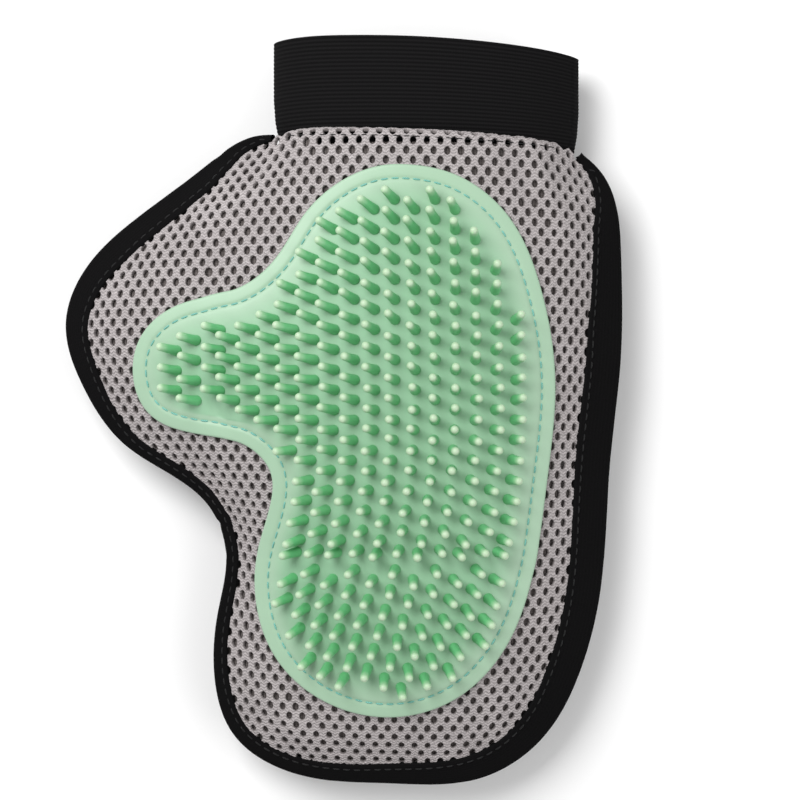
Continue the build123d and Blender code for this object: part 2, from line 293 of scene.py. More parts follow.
@dataclass(frozen=True)
class MeshYarn:
    """Brushed polyester yarn of the air mesh: pale, slightly pink grey, speckled and matte, with painted
    shade down the walls of the holes.
    """

    pale: tuple = rgb(0.64, 0.59, 0.59)
    dull: tuple = rgb(0.22, 0.20, 0.20)
    # Painted shade colour for the bottom of each hole.
    hole_shade: tuple = rgb(0.15, 0.132, 0.128)
    stitch: float = 1.05 * MM

    def make(self) -> bpy.types.Material:
        """Build the material."""
        shader = Shader("mesh_yarn", 0.82, Specular_IOR_Level=0.25)
        place, flat = shader.place(), shader.flat()
        across, along = shader.axis(flat, "X"), shader.axis(flat, "Y")
        turns = 2 * math.pi / self.stitch
        wobble = shader.noise(place, 900.0) * 5.0
        rows = ((along * turns + (across * (turns * 0.55)).sine() * 1.5 + wobble).sine() * 0.5) + 0.5
        fuzz = shader.noise(place, 3600.0, 3.0)
        speckle = shader.ramp(fuzz, [(0.36, 0.0), (0.62, 1.0)])
        tone = (rows * 0.45 + speckle * 0.55).clamped()
        cloudy = shader.noise(place, 70.0)
        yarn = shader.blend(tone, self.dull, self.pale)
        tone_shift = shader.blend((cloudy * 0.35).clamped(), yarn, self.dull)
        # Painted shade: the yarn darkens down each hole's wall, by the depth attribute.
        shader.colour(shader.blend(shader.attribute("depth"), tone_shift, self.hole_shade))
        shader.bump(rows * 0.6 + fuzz * 0.4, 0.30 * MM)
        return shader.material


@dataclass(frozen=True)
class LiningCloth:
    """Dark knitted lining that shows through the holes."""

    dark: tuple = rgb(0.085, 0.073, 0.069)
    light: tuple = rgb(0.22, 0.195, 0.188)
    rib: float = 0.8 * MM

    def make(self) -> bpy.types.Material:
        """Build the material."""
        shader = Shader("lining_cloth", 0.9, Specular_IOR_Level=0.2)
        flat, place = shader.flat(), shader.place()
        turns = 2 * math.pi / self.rib
        lines = (shader.axis(flat, "X") * turns + shader.noise(place, 400.0) * 4.0).sine() * 0.5 + 0.5
        cross = (shader.axis(flat, "Y") * turns).sine() * 0.5 + 0.5
        weave = lines * 0.7 + cross * 0.3
        shader.colour(shader.blend(weave * 0.8, self.dark, self.light))
        shader.bump(weave, 0.15 * MM)
        return shader.material


@dataclass(frozen=True)
class BindingTape:
    """Black brushed knit tape: very dark, with short fuzz and fine lengthwise ribs."""

    black: tuple = rgb(0.0035, 0.0034, 0.0036)
    lint: tuple = rgb(0.0085, 0.0082, 0.0085)
    rib: float = 0.9 * MM

    def make(self) -> bpy.types.Material:
        """Build the material."""
        shader = Shader("binding_tape", 0.95, Specular_IOR_Level=0.03)
        flat, place = shader.flat(), shader.place()
        turns = 2 * math.pi / self.rib
        across = (shader.axis(flat, "Y") * turns).sine() * 0.5 + 0.5
        along = (shader.axis(flat, "X") * (turns * 0.8)).sine() * 0.5 + 0.5
        fuzz = shader.noise(place, 2600.0, 3.0)
        shader.colour(shader.blend((fuzz * 0.75 + across * 0.15).clamped(), self.black, self.lint))
        shader.bump(across * 0.4 + along * 0.2 + fuzz * 0.6, 0.16 * MM)
        return shader.material


@dataclass(frozen=True)
class ElasticWeave:
    """Black woven elastic: crosswise ribs with fine warp threads between them, and a painted highlight on the
    rib crests.
    """

    black: tuple = rgb(0.0030, 0.0029, 0.0031)
    sheen: tuple = rgb(0.0130, 0.0125, 0.0130)
    thread: float = 0.55 * MM

    def make(self) -> bpy.types.Material:
        """Build the material."""
        shader = Shader("elastic_weave", 0.9, Specular_IOR_Level=0.04)
        flat, place = shader.flat(), shader.place()
        turns = 2 * math.pi / self.thread
        warp = (shader.axis(flat, "X") * turns).sine() * 0.5 + 0.5
        fuzz = shader.noise(place, 3000.0, 3.0)
        # Painted highlight: lighter towards the sheen colour on the rib crests, by the rib attribute, with
        # fuzz.
        tone_shift = (shader.attribute("rib") * 0.6 + fuzz * 0.35).clamped()
        shader.colour(shader.blend(tone_shift, self.black, self.sheen))
        shader.bump(warp * 0.5 + fuzz * 0.5, 0.10 * MM)
        return shader.material


@dataclass(frozen=True)
class MintRubber:
    """Soft moulded rubber, satin, with a paler colour painted where an attribute says: painted highlight on
    the pins' tips and painted shade among the pins on the pad.
    """

    name: str = "mint_rubber"
    body: tuple = rgb(0.27, 0.48, 0.31)
    # The paler colour of the painted light.
    bloom: tuple = rgb(0.36, 0.53, 0.38)
    roughness: float = 0.42
    depth: float = 0.0

    def make(self) -> bpy.types.Material:
        """Build the material."""
        shader = Shader(
            self.name,
            self.roughness,
            Specular_IOR_Level=0.4,
            Subsurface_Weight=self.depth,
            Subsurface_Scale=1.2 * MM,
        )
        shader.principled.inputs["Subsurface Radius"].default_value = (0.7, 1.0, 0.7)
        place = shader.place()
        cloudy = shader.noise(place, 45.0)
        grain = shader.noise(place, 1800.0, 2.0)
        # The painted light share, varied by cloudy noise.
        tone = (shader.attribute("bloom") + (cloudy - 0.5) * 0.25).clamped()
        shader.colour(shader.blend(tone, self.body, self.bloom))
        shader.rough(cloudy * 0.12 + (self.roughness - 0.06))
        shader.bump(grain, 0.03 * MM, 0.6)
        return shader.material


@dataclass(frozen=True)
class SewingThread:
    """Twisted sewing thread of one colour."""

    name: str
    dark: tuple
    light: tuple
    twist: float = 0.7 * MM

    def make(self) -> bpy.types.Material:
        """Build the material."""
        shader = Shader(self.name, 0.6, Specular_IOR_Level=0.3)
        place = shader.place()
        turns = 2 * math.pi / self.twist
        slant = shader.axis(place, "X") + shader.axis(place, "Y") * 1.3 + shader.axis(place, "Z") * 0.8
        ply = (slant * turns).sine() * 0.5 + 0.5
        shader.colour(shader.blend(ply, self.dark, self.light))
        shader.bump(ply, 0.08 * MM)
        return shader.material


@dataclass(frozen=True)
class StudioPaper:
    """The plain pale floor."""

    tint: tuple = rgb(0.93, 0.93, 0.93)

    def make(self) -> bpy.types.Material:
        """Build the material."""
        shader = Shader("studio_paper", 0.95, Specular_IOR_Level=0.1)
        grain = shader.noise(shader.place(), 30.0)
        shader.colour(shader.blend(grain * 0.1, self.tint, rgb(0.90, 0.90, 0.90)))
        return shader.material


# ---- The form, read from the frame ---------------------------------------------------------------
def tree_of(nodes: list[str], frame: dict) -> BVHTree:
    """A ray-casting tree over several CAD nodes."""
    points, faces = [], []
    for name in nodes:
        mesh = frame["nodes"][name].data
        start = len(points)
        points += [vertex.co.copy() for vertex in mesh.vertices]
        faces += [[start + i for i in polygon.vertices] for polygon in mesh.polygons]
    return BVHTree.FromPolygons(points, faces)


def nodes_like(frame: dict, stem: str) -> list[str]:
    """The CAD nodes whose names start with a stem."""
    return sorted(name for name in frame["nodes"] if name.startswith(stem))


def spline_weights(share: np.ndarray) -> list[np.ndarray]:
    """The four cubic B-spline weights at a share of the way between two grid lines."""
    return [
        (1 - share) ** 3 / 6,
        (3 * share**3 - 6 * share**2 + 4) / 6,
        (-3 * share**3 + 3 * share**2 + 3 * share + 1) / 6,
        share**3 / 6,
    ]


def ring_smooth(values: np.ndarray, rounds: int) -> np.ndarray:
    """Values or points round a ring after averaging with their neighbours."""
    for _ in range(rounds):
        values = (np.roll(values, 1, axis=0) + 2 * values + np.roll(values, -1, axis=0)) / 4
    return values


def run_along(line: np.ndarray) -> np.ndarray:
    """The distance along a line of points to each of them."""
    return np.concatenate([[0], np.cumsum(np.linalg.norm(np.diff(line, axis=0), axis=1))])


def inward_of(ahead: np.ndarray) -> np.ndarray:
    """Unit headings to the left of the given ones: inwards, for a loop that runs anticlockwise."""
    inward = np.stack([-ahead[:, 1], ahead[:, 0]], axis=1)
    return inward / np.linalg.norm(inward, axis=1)[:, None]


def evenly(line: np.ndarray, spacing: float) -> np.ndarray:
    """Points evenly spaced along a line of points."""
    run = run_along(line)
    places = np.linspace(0, run[-1], max(int(run[-1] / spacing), 2), endpoint=False)
    return np.stack([np.interp(places, run, line[:, axis]) for axis in range(line.shape[1])], axis=1)


@dataclass(frozen=True)
class Crease:
    """One soft fold in a panel: a ridge or a valley with rounded ends."""

    x: float
    y: float
    heading: float
    length: float
    width: float
    rise: float

    def height(self, x: np.ndarray, y: np.ndarray) -> np.ndarray:
        """How far the fold lifts the panel at each point."""
        cosine, sine = math.cos(self.heading), math.sin(self.heading)
        along = (x - self.x) * cosine + (y - self.y) * sine
        across = (y - self.y) * cosine - (x - self.x) * sine
        return self.rise * np.exp(-((along / self.length) ** 2) - (across / self.width) ** 2)


@dataclass
class Form:
    """The shape of the filled mitt: two height maps, the mouth's edge and two outlines.

    Attributes:
        frame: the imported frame.
        middle: the centre of the outlines, from the thumb's hinge along X and the fingers' along Y.
        step: the spacing of the height maps, which go on past the mitt by the border.
        spread: how many cells a height map is carried on past the panel.
        angles: how many directions an outline is measured in, as far as the reach.
        bisections: how often a measured edge is halved in on.
        flatten: how much lower the panels lie near the sewn edge, up to flat_rise, fading over flat_fade.
        fold_gap: how near to a fold the pad's outline is bridged.
        pad_rounds: how often the pad's outline is averaged.
        mouth_inset: how far from the cuff's sides the mouth's edge is measured.
        arc_step: the spacing of the tables of distance along the panels.
        arc_spare: how many steps these tables go on past the reach.
        most_turn: how far round the mouth's fold the cloth goes, in radians.
        floor_gap: how far every point stays off the floor.
        creases: the soft folds of the palm.
    """

    frame: dict
    middle: tuple[float, float] = (0.050, 0.038)
    step: float = 2 * MM
    border: float = 0.02
    spread: int = 60
    angles: int = 720
    reach: float = 0.15
    bisections: int = 7
    flatten: float = 1.7 * MM
    flat_rise: float = 3.2 * MM
    flat_fade: float = 5 * MM
    fold_gap: float = 5 * MM
    pad_rounds: int = 6
    mouth_inset: float = 0.012
    arc_step: float = 0.5 * MM
    arc_spare: int = 60
    most_turn: float = 2.0
    floor_gap: float = 0.02 * MM
    creases: list[Crease] = field(default_factory=list)

    def __post_init__(self) -> None:
        """Read everything from the frame's meshes."""
        hinges = {joint["name"]: Vector(joint["pos_m"]) for joint in self.frame["joints"]}
        self.thumb_x = hinges["thumb_fold"].x
        self.fold_y = hinges["finger_curl"].y
        self.centre = np.array([self.thumb_x + self.middle[0], self.fold_y + self.middle[1]])
        low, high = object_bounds()
        self.origin = np.array([low.x - self.border, low.y - self.border])
        spans = (high.x - low.x, high.y - low.y)
        self.shape = tuple(int((span + 2 * self.border) / self.step) + 4 for span in spans)
        mesh_nodes = nodes_like(self.frame, "palm_mesh")
        edge = tree_of(nodes_like(self.frame, "edge_binding") + mesh_nodes, self.frame)
        pad = tree_of(nodes_like(self.frame, "rubber_pad"), self.frame)
        self.theta = np.linspace(-math.pi, math.pi, self.angles, endpoint=False)
        self.edge_radius = self._outline(edge)
        self.pad_radius = ring_smooth(self._bridged(self._outline(pad)), self.pad_rounds)
        self.maps = {}
        for side, stem in ((Side.PALM, "palm_mesh"), (Side.BACK, "back_mesh")):
            tree = tree_of(nodes_like(self.frame, stem), self.frame)
            self.maps[side] = self._height_map(tree, side)
        self.rim_z = (self._edge_level(Side.PALM) + self._edge_level(Side.BACK)) / 2
        for side, grid in self.maps.items():
            rise = side.value * (grid - self.rim_z)
            fade = np.exp(-np.maximum(rise - self.flat_rise, 0) / self.flat_fade)
            self.maps[side] = rise - self.flatten * fade
        self.mouth = self._mouth_curve(mesh_nodes)
        self.tables = {side: self._arc_table(side) for side in Side}

    def _outline(self, tree: BVHTree) -> np.ndarray:
        """How far the tree's plan reaches from the centre, by angle."""
        radii = np.zeros(self.angles)
        for k, angle in enumerate(self.theta):
            heading = np.array([math.cos(angle), math.sin(angle)])
            outer = self.reach
            while outer > 0 and not self._covers(tree, self.centre + heading * outer):
                outer -= 1 * MM
            inner, outer = outer, outer + 1 * MM
            for _ in range(self.bisections):
                middle = (inner + outer) / 2
                if self._covers(tree, self.centre + heading * middle):
                    inner = middle
                else:
                    outer = middle
            radii[k] = inner
        return radii

    @staticmethod
    def _covers(tree: BVHTree, point: np.ndarray) -> bool:
        """Whether the tree lies under a point."""
        return tree.ray_cast(Vector((point[0], point[1], 1.0)), Vector((0, 0, -1)))[0] is not None

    def _bridged(self, radii: np.ndarray) -> np.ndarray:
        """The outline carried straight across the two folds."""
        x = self.centre[0] + radii * np.cos(self.theta)
        y = self.centre[1] + radii * np.sin(self.theta)
        in_fold = (abs(x - self.thumb_x) < self.fold_gap) & (y > self.fold_y)
        in_fold |= abs(y - self.fold_y) < self.fold_gap
        return np.interp(self.theta, self.theta[~in_fold], radii[~in_fold], period=2 * math.pi)

    def _height_map(self, tree: BVHTree, side: Side) -> np.ndarray:
        """The panel's outer face as a grid of heights, carried on past its edges."""
        grid = np.full(self.shape, np.nan)
        for i in range(self.shape[0]):
            for j in range(self.shape[1]):
                x, y = self.origin + np.array([i, j]) * self.step
                hit = tree.ray_cast(Vector((x, y, side.value)), Vector((0, 0, -side.value)))[0]
                if hit is not None:
                    grid[i, j] = hit.z
        known = ~np.isnan(grid)
        level = np.nanmin(grid) if side is Side.PALM else np.nanmax(grid)
        for _ in range(self.spread):
            padded = np.pad(grid, 1, constant_values=np.nan)
            shifts = [padded[1 + a:1 + a + self.shape[0], 1 + b:1 + b + self.shape[1]]
                      for a, b in ((0, 1), (1, 0), (0, -1), (-1, 0))]
            count = np.sum([~np.isnan(s) for s in shifts], axis=0)
            total = np.nansum(shifts, axis=0)
            mean = np.where(count > 0, total / np.maximum(count, 1), np.nan)
            grid = np.where(known, grid, mean)
        return np.where(np.isnan(grid), level, grid)

    def _edge_level(self, side: Side) -> float:
        """The height of a panel's outer face at its sewn edge."""
        grid = self.maps[side]
        return float(grid.min() if side is Side.PALM else grid.max())

    def _mouth_curve(self, nodes: list[str]) -> np.ndarray:
        """The mouth's edge in plan, as a curve of the second degree across the mitt."""
        low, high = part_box("wrist_elastic")
        tree = tree_of(nodes, self.frame)
        places, edges = [], []
        for x in np.linspace(low.x + self.mouth_inset, high.x - self.mouth_inset, 24):
            y = high.y
            while y > 0 and not self._covers(tree, np.array([x, y])):
                y -= 0.2 * MM
            places.append(x)
            edges.append(y)
        return np.polyfit(places, edges, 2)

    def mouth_y(self, x: np.ndarray) -> np.ndarray:
        """How far towards the wrist the panels reach."""
        return np.polyval(self.mouth, x)

    def sample(self, grid: np.ndarray, x: np.ndarray, y: np.ndarray) -> np.ndarray:
        """A grid's value at each point, on a smooth surface."""
        u = np.clip((x - self.origin[0]) / self.step, 1, self.shape[0] - 3.001)
        v = np.clip((y - self.origin[1]) / self.step, 1, self.shape[1] - 3.001)
        i, j = u.astype(int), v.astype(int)
        across, along = spline_weights(u - i), spline_weights(v - j)
        total = np.zeros_like(x, dtype=float)
        for a in range(4):
            for b in range(4):
                total += across[a] * along[b] * grid[i + a - 1, j + b - 1]
        return total

    def rise(self, side: Side, x: np.ndarray, y: np.ndarray) -> np.ndarray:
        """How far a panel stands out from the middle of the sewn edge."""
        total = self.sample(self.maps[side], x, y)
        if side is Side.PALM:
            for crease in self.creases:
                total = total + crease.height(x, y)
        return total

    def slope(self, side: Side, x: np.ndarray, y: np.ndarray) -> tuple[np.ndarray, np.ndarray]:
        """The rise's slope along X and Y."""
        d = 0.5 * MM
        along_x = (self.rise(side, x + d, y) - self.rise(side, x - d, y)) / (2 * d)
        along_y = (self.rise(side, x, y + d) - self.rise(side, x, y - d)) / (2 * d)
        return along_x, along_y

    def _arc_table(self, side: Side) -> np.ndarray:
        """The plan radius for each angle and each distance along the panel."""
        radii = np.arange(0, self.reach, self.arc_step)
        table = np.zeros((self.angles + 1, len(radii) + self.arc_spare))
        targets = np.arange(table.shape[1]) * self.arc_step
        for k in range(self.angles + 1):
            angle = self.theta[k % self.angles]
            x = self.centre[0] + radii * math.cos(angle)
            y = self.centre[1] + radii * math.sin(angle)
            z = self.sample(self.maps[side], x, y)
            run = np.concatenate([[0], np.cumsum(np.hypot(np.diff(radii), np.diff(z)))])
            table[k] = np.interp(targets, run, radii)
        return table

    def unroll(self, side: Side, flat: np.ndarray) -> tuple[np.ndarray, np.ndarray]:
        """The plan place of points on the flat cloth, measured along the panel from its centre."""
        angle = np.arctan2(flat[:, 1], flat[:, 0])
        run = np.hypot(flat[:, 0], flat[:, 1])
        u = (angle + math.pi) / (2 * math.pi) * self.angles
        i = np.clip(u.astype(int), 0, self.angles - 1)
        table = self.tables[side]
        v = np.clip(run / self.arc_step, 0, table.shape[1] - 1.001)
        j = v.astype(int)
        near = table[i, j] * (1 - v + j) + table[i, j + 1] * (v - j)
        far = table[i + 1, j] * (1 - v + j) + table[i + 1, j + 1] * (v - j)
        radius = near + (far - near) * (u - i)
        return self.centre[0] + radius * np.cos(angle), self.centre[1] + radius * np.sin(angle)

    def on_panel(
        self, side: Side, x: np.ndarray, y: np.ndarray, lift: np.ndarray, roll: float = 0.0
    ) -> np.ndarray:
        """Points on or over a panel, rolled over a rounded fold at the mouth.

        Args:
            side: the panel.
            x: plan places across.
            y: plan places along.
            lift: how far each point stands off the panel's face.
            roll: the fold's radius, or 0 to leave the mouth's edge open.

        Returns:
            The points, one row each.
        """
        edge = self.mouth_y(x) - roll
        over = np.maximum(y - edge, 0) if roll else np.zeros_like(y)
        base_y = np.minimum(y, edge) if roll else y
        slope_x, slope_y = self.slope(side, x, base_y)
        length = np.sqrt(slope_x**2 + slope_y**2 + 1)
        normal = np.stack([-slope_x / length, -slope_y / length, 1 / length], axis=1)
        base = np.stack([x, base_y, self.rise(side, x, base_y)], axis=1)
        if roll:
            turn = np.clip(over / roll, 0, self.most_turn)[:, None]
            ahead = np.stack([np.zeros_like(x), normal[:, 2], -normal[:, 1]], axis=1)
            spoke = normal * np.cos(turn) + ahead * np.sin(turn)
            base = base - normal * roll + spoke * (roll + lift[:, None])
        else:
            base = base + normal * lift[:, None]
        base[:, 2] = np.maximum(self.rim_z + side.value * base[:, 2], self.floor_gap)
        return base

    def radius_at(self, radii: np.ndarray, x: np.ndarray, y: np.ndarray) -> np.ndarray:
        """An outline's radius in the direction of each point."""
        angle = np.arctan2(y - self.centre[1], x - self.centre[0])
        return np.interp(angle, self.theta, radii, period=2 * math.pi)

    def distance(self, x: np.ndarray, y: np.ndarray) -> np.ndarray:
        """How far each point is from the centre in plan."""
        return np.hypot(x - self.centre[0], y - self.centre[1])

    def loop(self, radii: np.ndarray) -> np.ndarray:
        """An outline's plan points, one for each angle."""
        return self.centre + np.stack([np.cos(self.theta), np.sin(self.theta)], axis=1) * radii[:, None]

    def ring(self, radii: np.ndarray, inset: float, spacing: float) -> np.ndarray:
        """Evenly spaced plan points round an outline, moved inwards."""
        loop = self.loop(radii)
        loop = loop + inward_of(np.roll(loop, -2, axis=0) - np.roll(loop, 2, axis=0)) * inset
        return evenly(np.vstack([loop, loop[:1]]), spacing)


# ---- Meshes --------------------------------------------------------------------------------------
@dataclass
class Surface:
    """Vertices and faces of a piece before it becomes an object."""

    points: np.ndarray
    faces: list
    flat: np.ndarray | None = None
    marks: dict[str, np.ndarray] = field(default_factory=dict)

    def normals(self) -> np.ndarray:
        """Vertex normals weighted by area."""
        total = np.zeros_like(self.points)
        for count in (3, 4):
            chosen = [face for face in self.faces if len(face) == count]
            if not chosen:
                continue
            index = np.array(chosen)
            corners = self.points[index]
            cross = np.cross(corners[:, 2] - corners[:, 0], corners[:, -1] - corners[:, 1])
            if count == 3:
                cross = np.cross(corners[:, 1] - corners[:, 0], corners[:, 2] - corners[:, 0])
            for corner in range(count):
                np.add.at(total, index[:, corner], cross)
        return total / np.maximum(np.linalg.norm(total, axis=1), 1e-12)[:, None]

    def taken(self, keep: np.ndarray) -> "Surface":
        """The part of the surface made of the chosen faces."""
        faces = [face for face, kept in zip(self.faces, keep) if kept]
        used = np.unique(np.concatenate([np.asarray(face) for face in faces]))
        renumber = np.full(len(self.points), -1)
        renumber[used] = np.arange(len(used))
        cut = Surface(self.points[used], [[int(renumber[i]) for i in face] for face in faces])
        cut.flat = None if self.flat is None else self.flat[used]
        cut.marks = {name: values[used] for name, values in self.marks.items()}
        return cut

    def centres(self) -> np.ndarray:
        """The middle of each face."""
        return np.array([self.points[list(face)].mean(axis=0) for face in self.faces])


@dataclass
class Maker:
    """Turns surfaces into objects.

    Attributes:
        form: the mitt's shape.
        crotch: where the thumb meets the fingers, from the thumb's hinge along X and the fingers' along Y.
        slant: how far the line between thumb and hand leans towards the fingers' far side.
        thumb_start: how far past the fingers' fold the thumb's pieces may begin.
        hand_bend: how far before the fingers' fold the bend begins.
        finger_bend: how far past that fold it is complete; not used.
        thumb_bend: how long the thumb's own bend is.
    """

    form: Form
    crotch: tuple[float, float] = (4 * MM, 9 * MM)
    slant: float = 0.085
    thumb_start: float = 2 * MM
    hand_bend: float = 10 * MM
    finger_bend: float = 12 * MM
    thumb_bend: float = 24 * MM

    def seam_x(self, y: np.ndarray) -> np.ndarray:
        """The line from the crotch to the mouth where the thumb's pieces meet the main ones."""
        low_y = self.form.fold_y + self.crotch[1]
        return self.form.thumb_x + self.crotch[0] + (y - low_y) * self.slant

    def in_thumb(self, centres: np.ndarray) -> np.ndarray:
        """Which faces belong to the thumb's pieces."""
        left = centres[:, 0] < self.seam_x(centres[:, 1])
        return left & (centres[:, 1] > self.form.fold_y + self.thumb_start)

    def build(self, name: str, surface: Surface, finish: bpy.types.Material, slot: str) -> bpy.types.Object:
        """Make one smooth mesh object.

        Args:
            name: the object's name.
            surface: its mesh.
            finish: its material.
            slot: the record's material slot; not used.

        Returns:
            The new object.
        """
        mesh = bpy.data.meshes.new(name)
        mesh.from_pydata(surface.points.tolist(), [], surface.faces)
        for label, values in surface.marks.items():
            mesh.attributes.new(label, "FLOAT", "POINT").data.foreach_set("value", values.astype(np.float32))
        if surface.flat is not None:
            layer = mesh.uv_layers.new(name="flat")
            loops = np.zeros(len(mesh.loops), np.int32)
            mesh.loops.foreach_get("vertex_index", loops)
            layer.data.foreach_set("uv", surface.flat[loops].astype(np.float32).ravel())
        mesh.polygons.foreach_set("use_smooth", [True] * len(mesh.polygons))
        mesh.materials.append(finish)
        mesh.update()
        made = bpy.data.objects.new(name, mesh)
        bpy.context.collection.objects.link(made)
        LOG.info("%s: %d vertices, %d faces", name, len(mesh.vertices), len(mesh.polygons))
        return made

    def bend(self, made: bpy.types.Object, part: Part) -> None:
        """Bake a piece's placement into its mesh; the start of a bend towards the fingers or the thumb is
        worked out but not used.
        """
        middle = self.form.centre
        if part is Part.MAIN:
            start = (middle[0], self.form.fold_y + self.hand_bend, self.form.rim_z)
            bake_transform(made)
        else:
            ahead = Vector((-1.0, self.slant, 0.0)).normalized()
            foot = (self.form.thumb_x + self.crotch[0], self.form.fold_y + self.crotch[1])
            start = Vector((*foot, self.form.rim_z))
            start + ahead * self.thumb_bend
            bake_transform(made)

    def halves(self, surface: Surface, count: int) -> Iterator[tuple[Part, Surface]]:
        """The main and the thumb stretch of a surface, with each of its equal items kept whole."""
        each = len(surface.faces) // count
        middles = surface.centres().reshape(-1, each, 3).mean(axis=1)
        thumb = np.repeat(self.in_thumb(middles), each)
        for part, keep in ((Part.MAIN, ~thumb), (Part.THUMB, thumb)):
            if keep.any():
                yield part, surface.taken(keep)

    def split(self, name: str, surface: Surface, finish: bpy.types.Material, slot: str, stem: str) -> list:
        """Make a surface as two objects, main and thumb, that stand for the CAD nodes of a stem."""
        thumb = self.in_thumb(surface.centres())
        normals = surface.normals()
        surface.marks["normal_x"], surface.marks["normal_y"], surface.marks["normal_z"] = normals.T
        objects = []
        for part, keep in ((Part.MAIN, ~thumb), (Part.THUMB, thumb)):
            cut = surface.taken(keep)
            exact = np.stack([cut.marks.pop(f"normal_{axis}") for axis in "xyz"], axis=1)
            made = self.build(f"{name}_{part.value}", cut, finish, slot)
            made.data.normals_split_custom_set_from_vertices(exact.tolist())
            self.bend(made, part)
            for node in (f"{stem}_{body}" for body in part.bodies):
                if node in self.form.frame["nodes"]:
                    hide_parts(node)
            objects.append(made)
        return objects


def grid_faces(rows: int, columns: int, closed: bool = False, flip: bool = False) -> list:
    """Quads of a grid of points stored row by row."""
    faces = []
    for i in range(rows - 1):
        for j in range(columns if closed else columns - 1):
            k = (j + 1) % columns
            quad = [i * columns + j, i * columns + k, (i + 1) * columns + k, (i + 1) * columns + j]
            faces.append(quad[::-1] if flip else quad)
    return faces


def tube_faces(start: int, rings: int, sides: int, flip: bool = False) -> list:
    """Faces of a capped tube whose rings of points follow each other from the start index."""
    faces = []
    for k in range(rings - 1):
        low = start + k * sides
        for j in range(sides):
            n = (j + 1) % sides
            quad = [low + j, low + n, low + sides + n, low + sides + j]
            faces.append(quad[:1] + quad[:0:-1] if flip else quad)
    last = start + (rings - 1) * sides
    caps = [[start + j for j in range(sides)][::-1], [last + j for j in range(sides)]]
    return faces + [cap[::-1] if flip else cap for cap in caps]


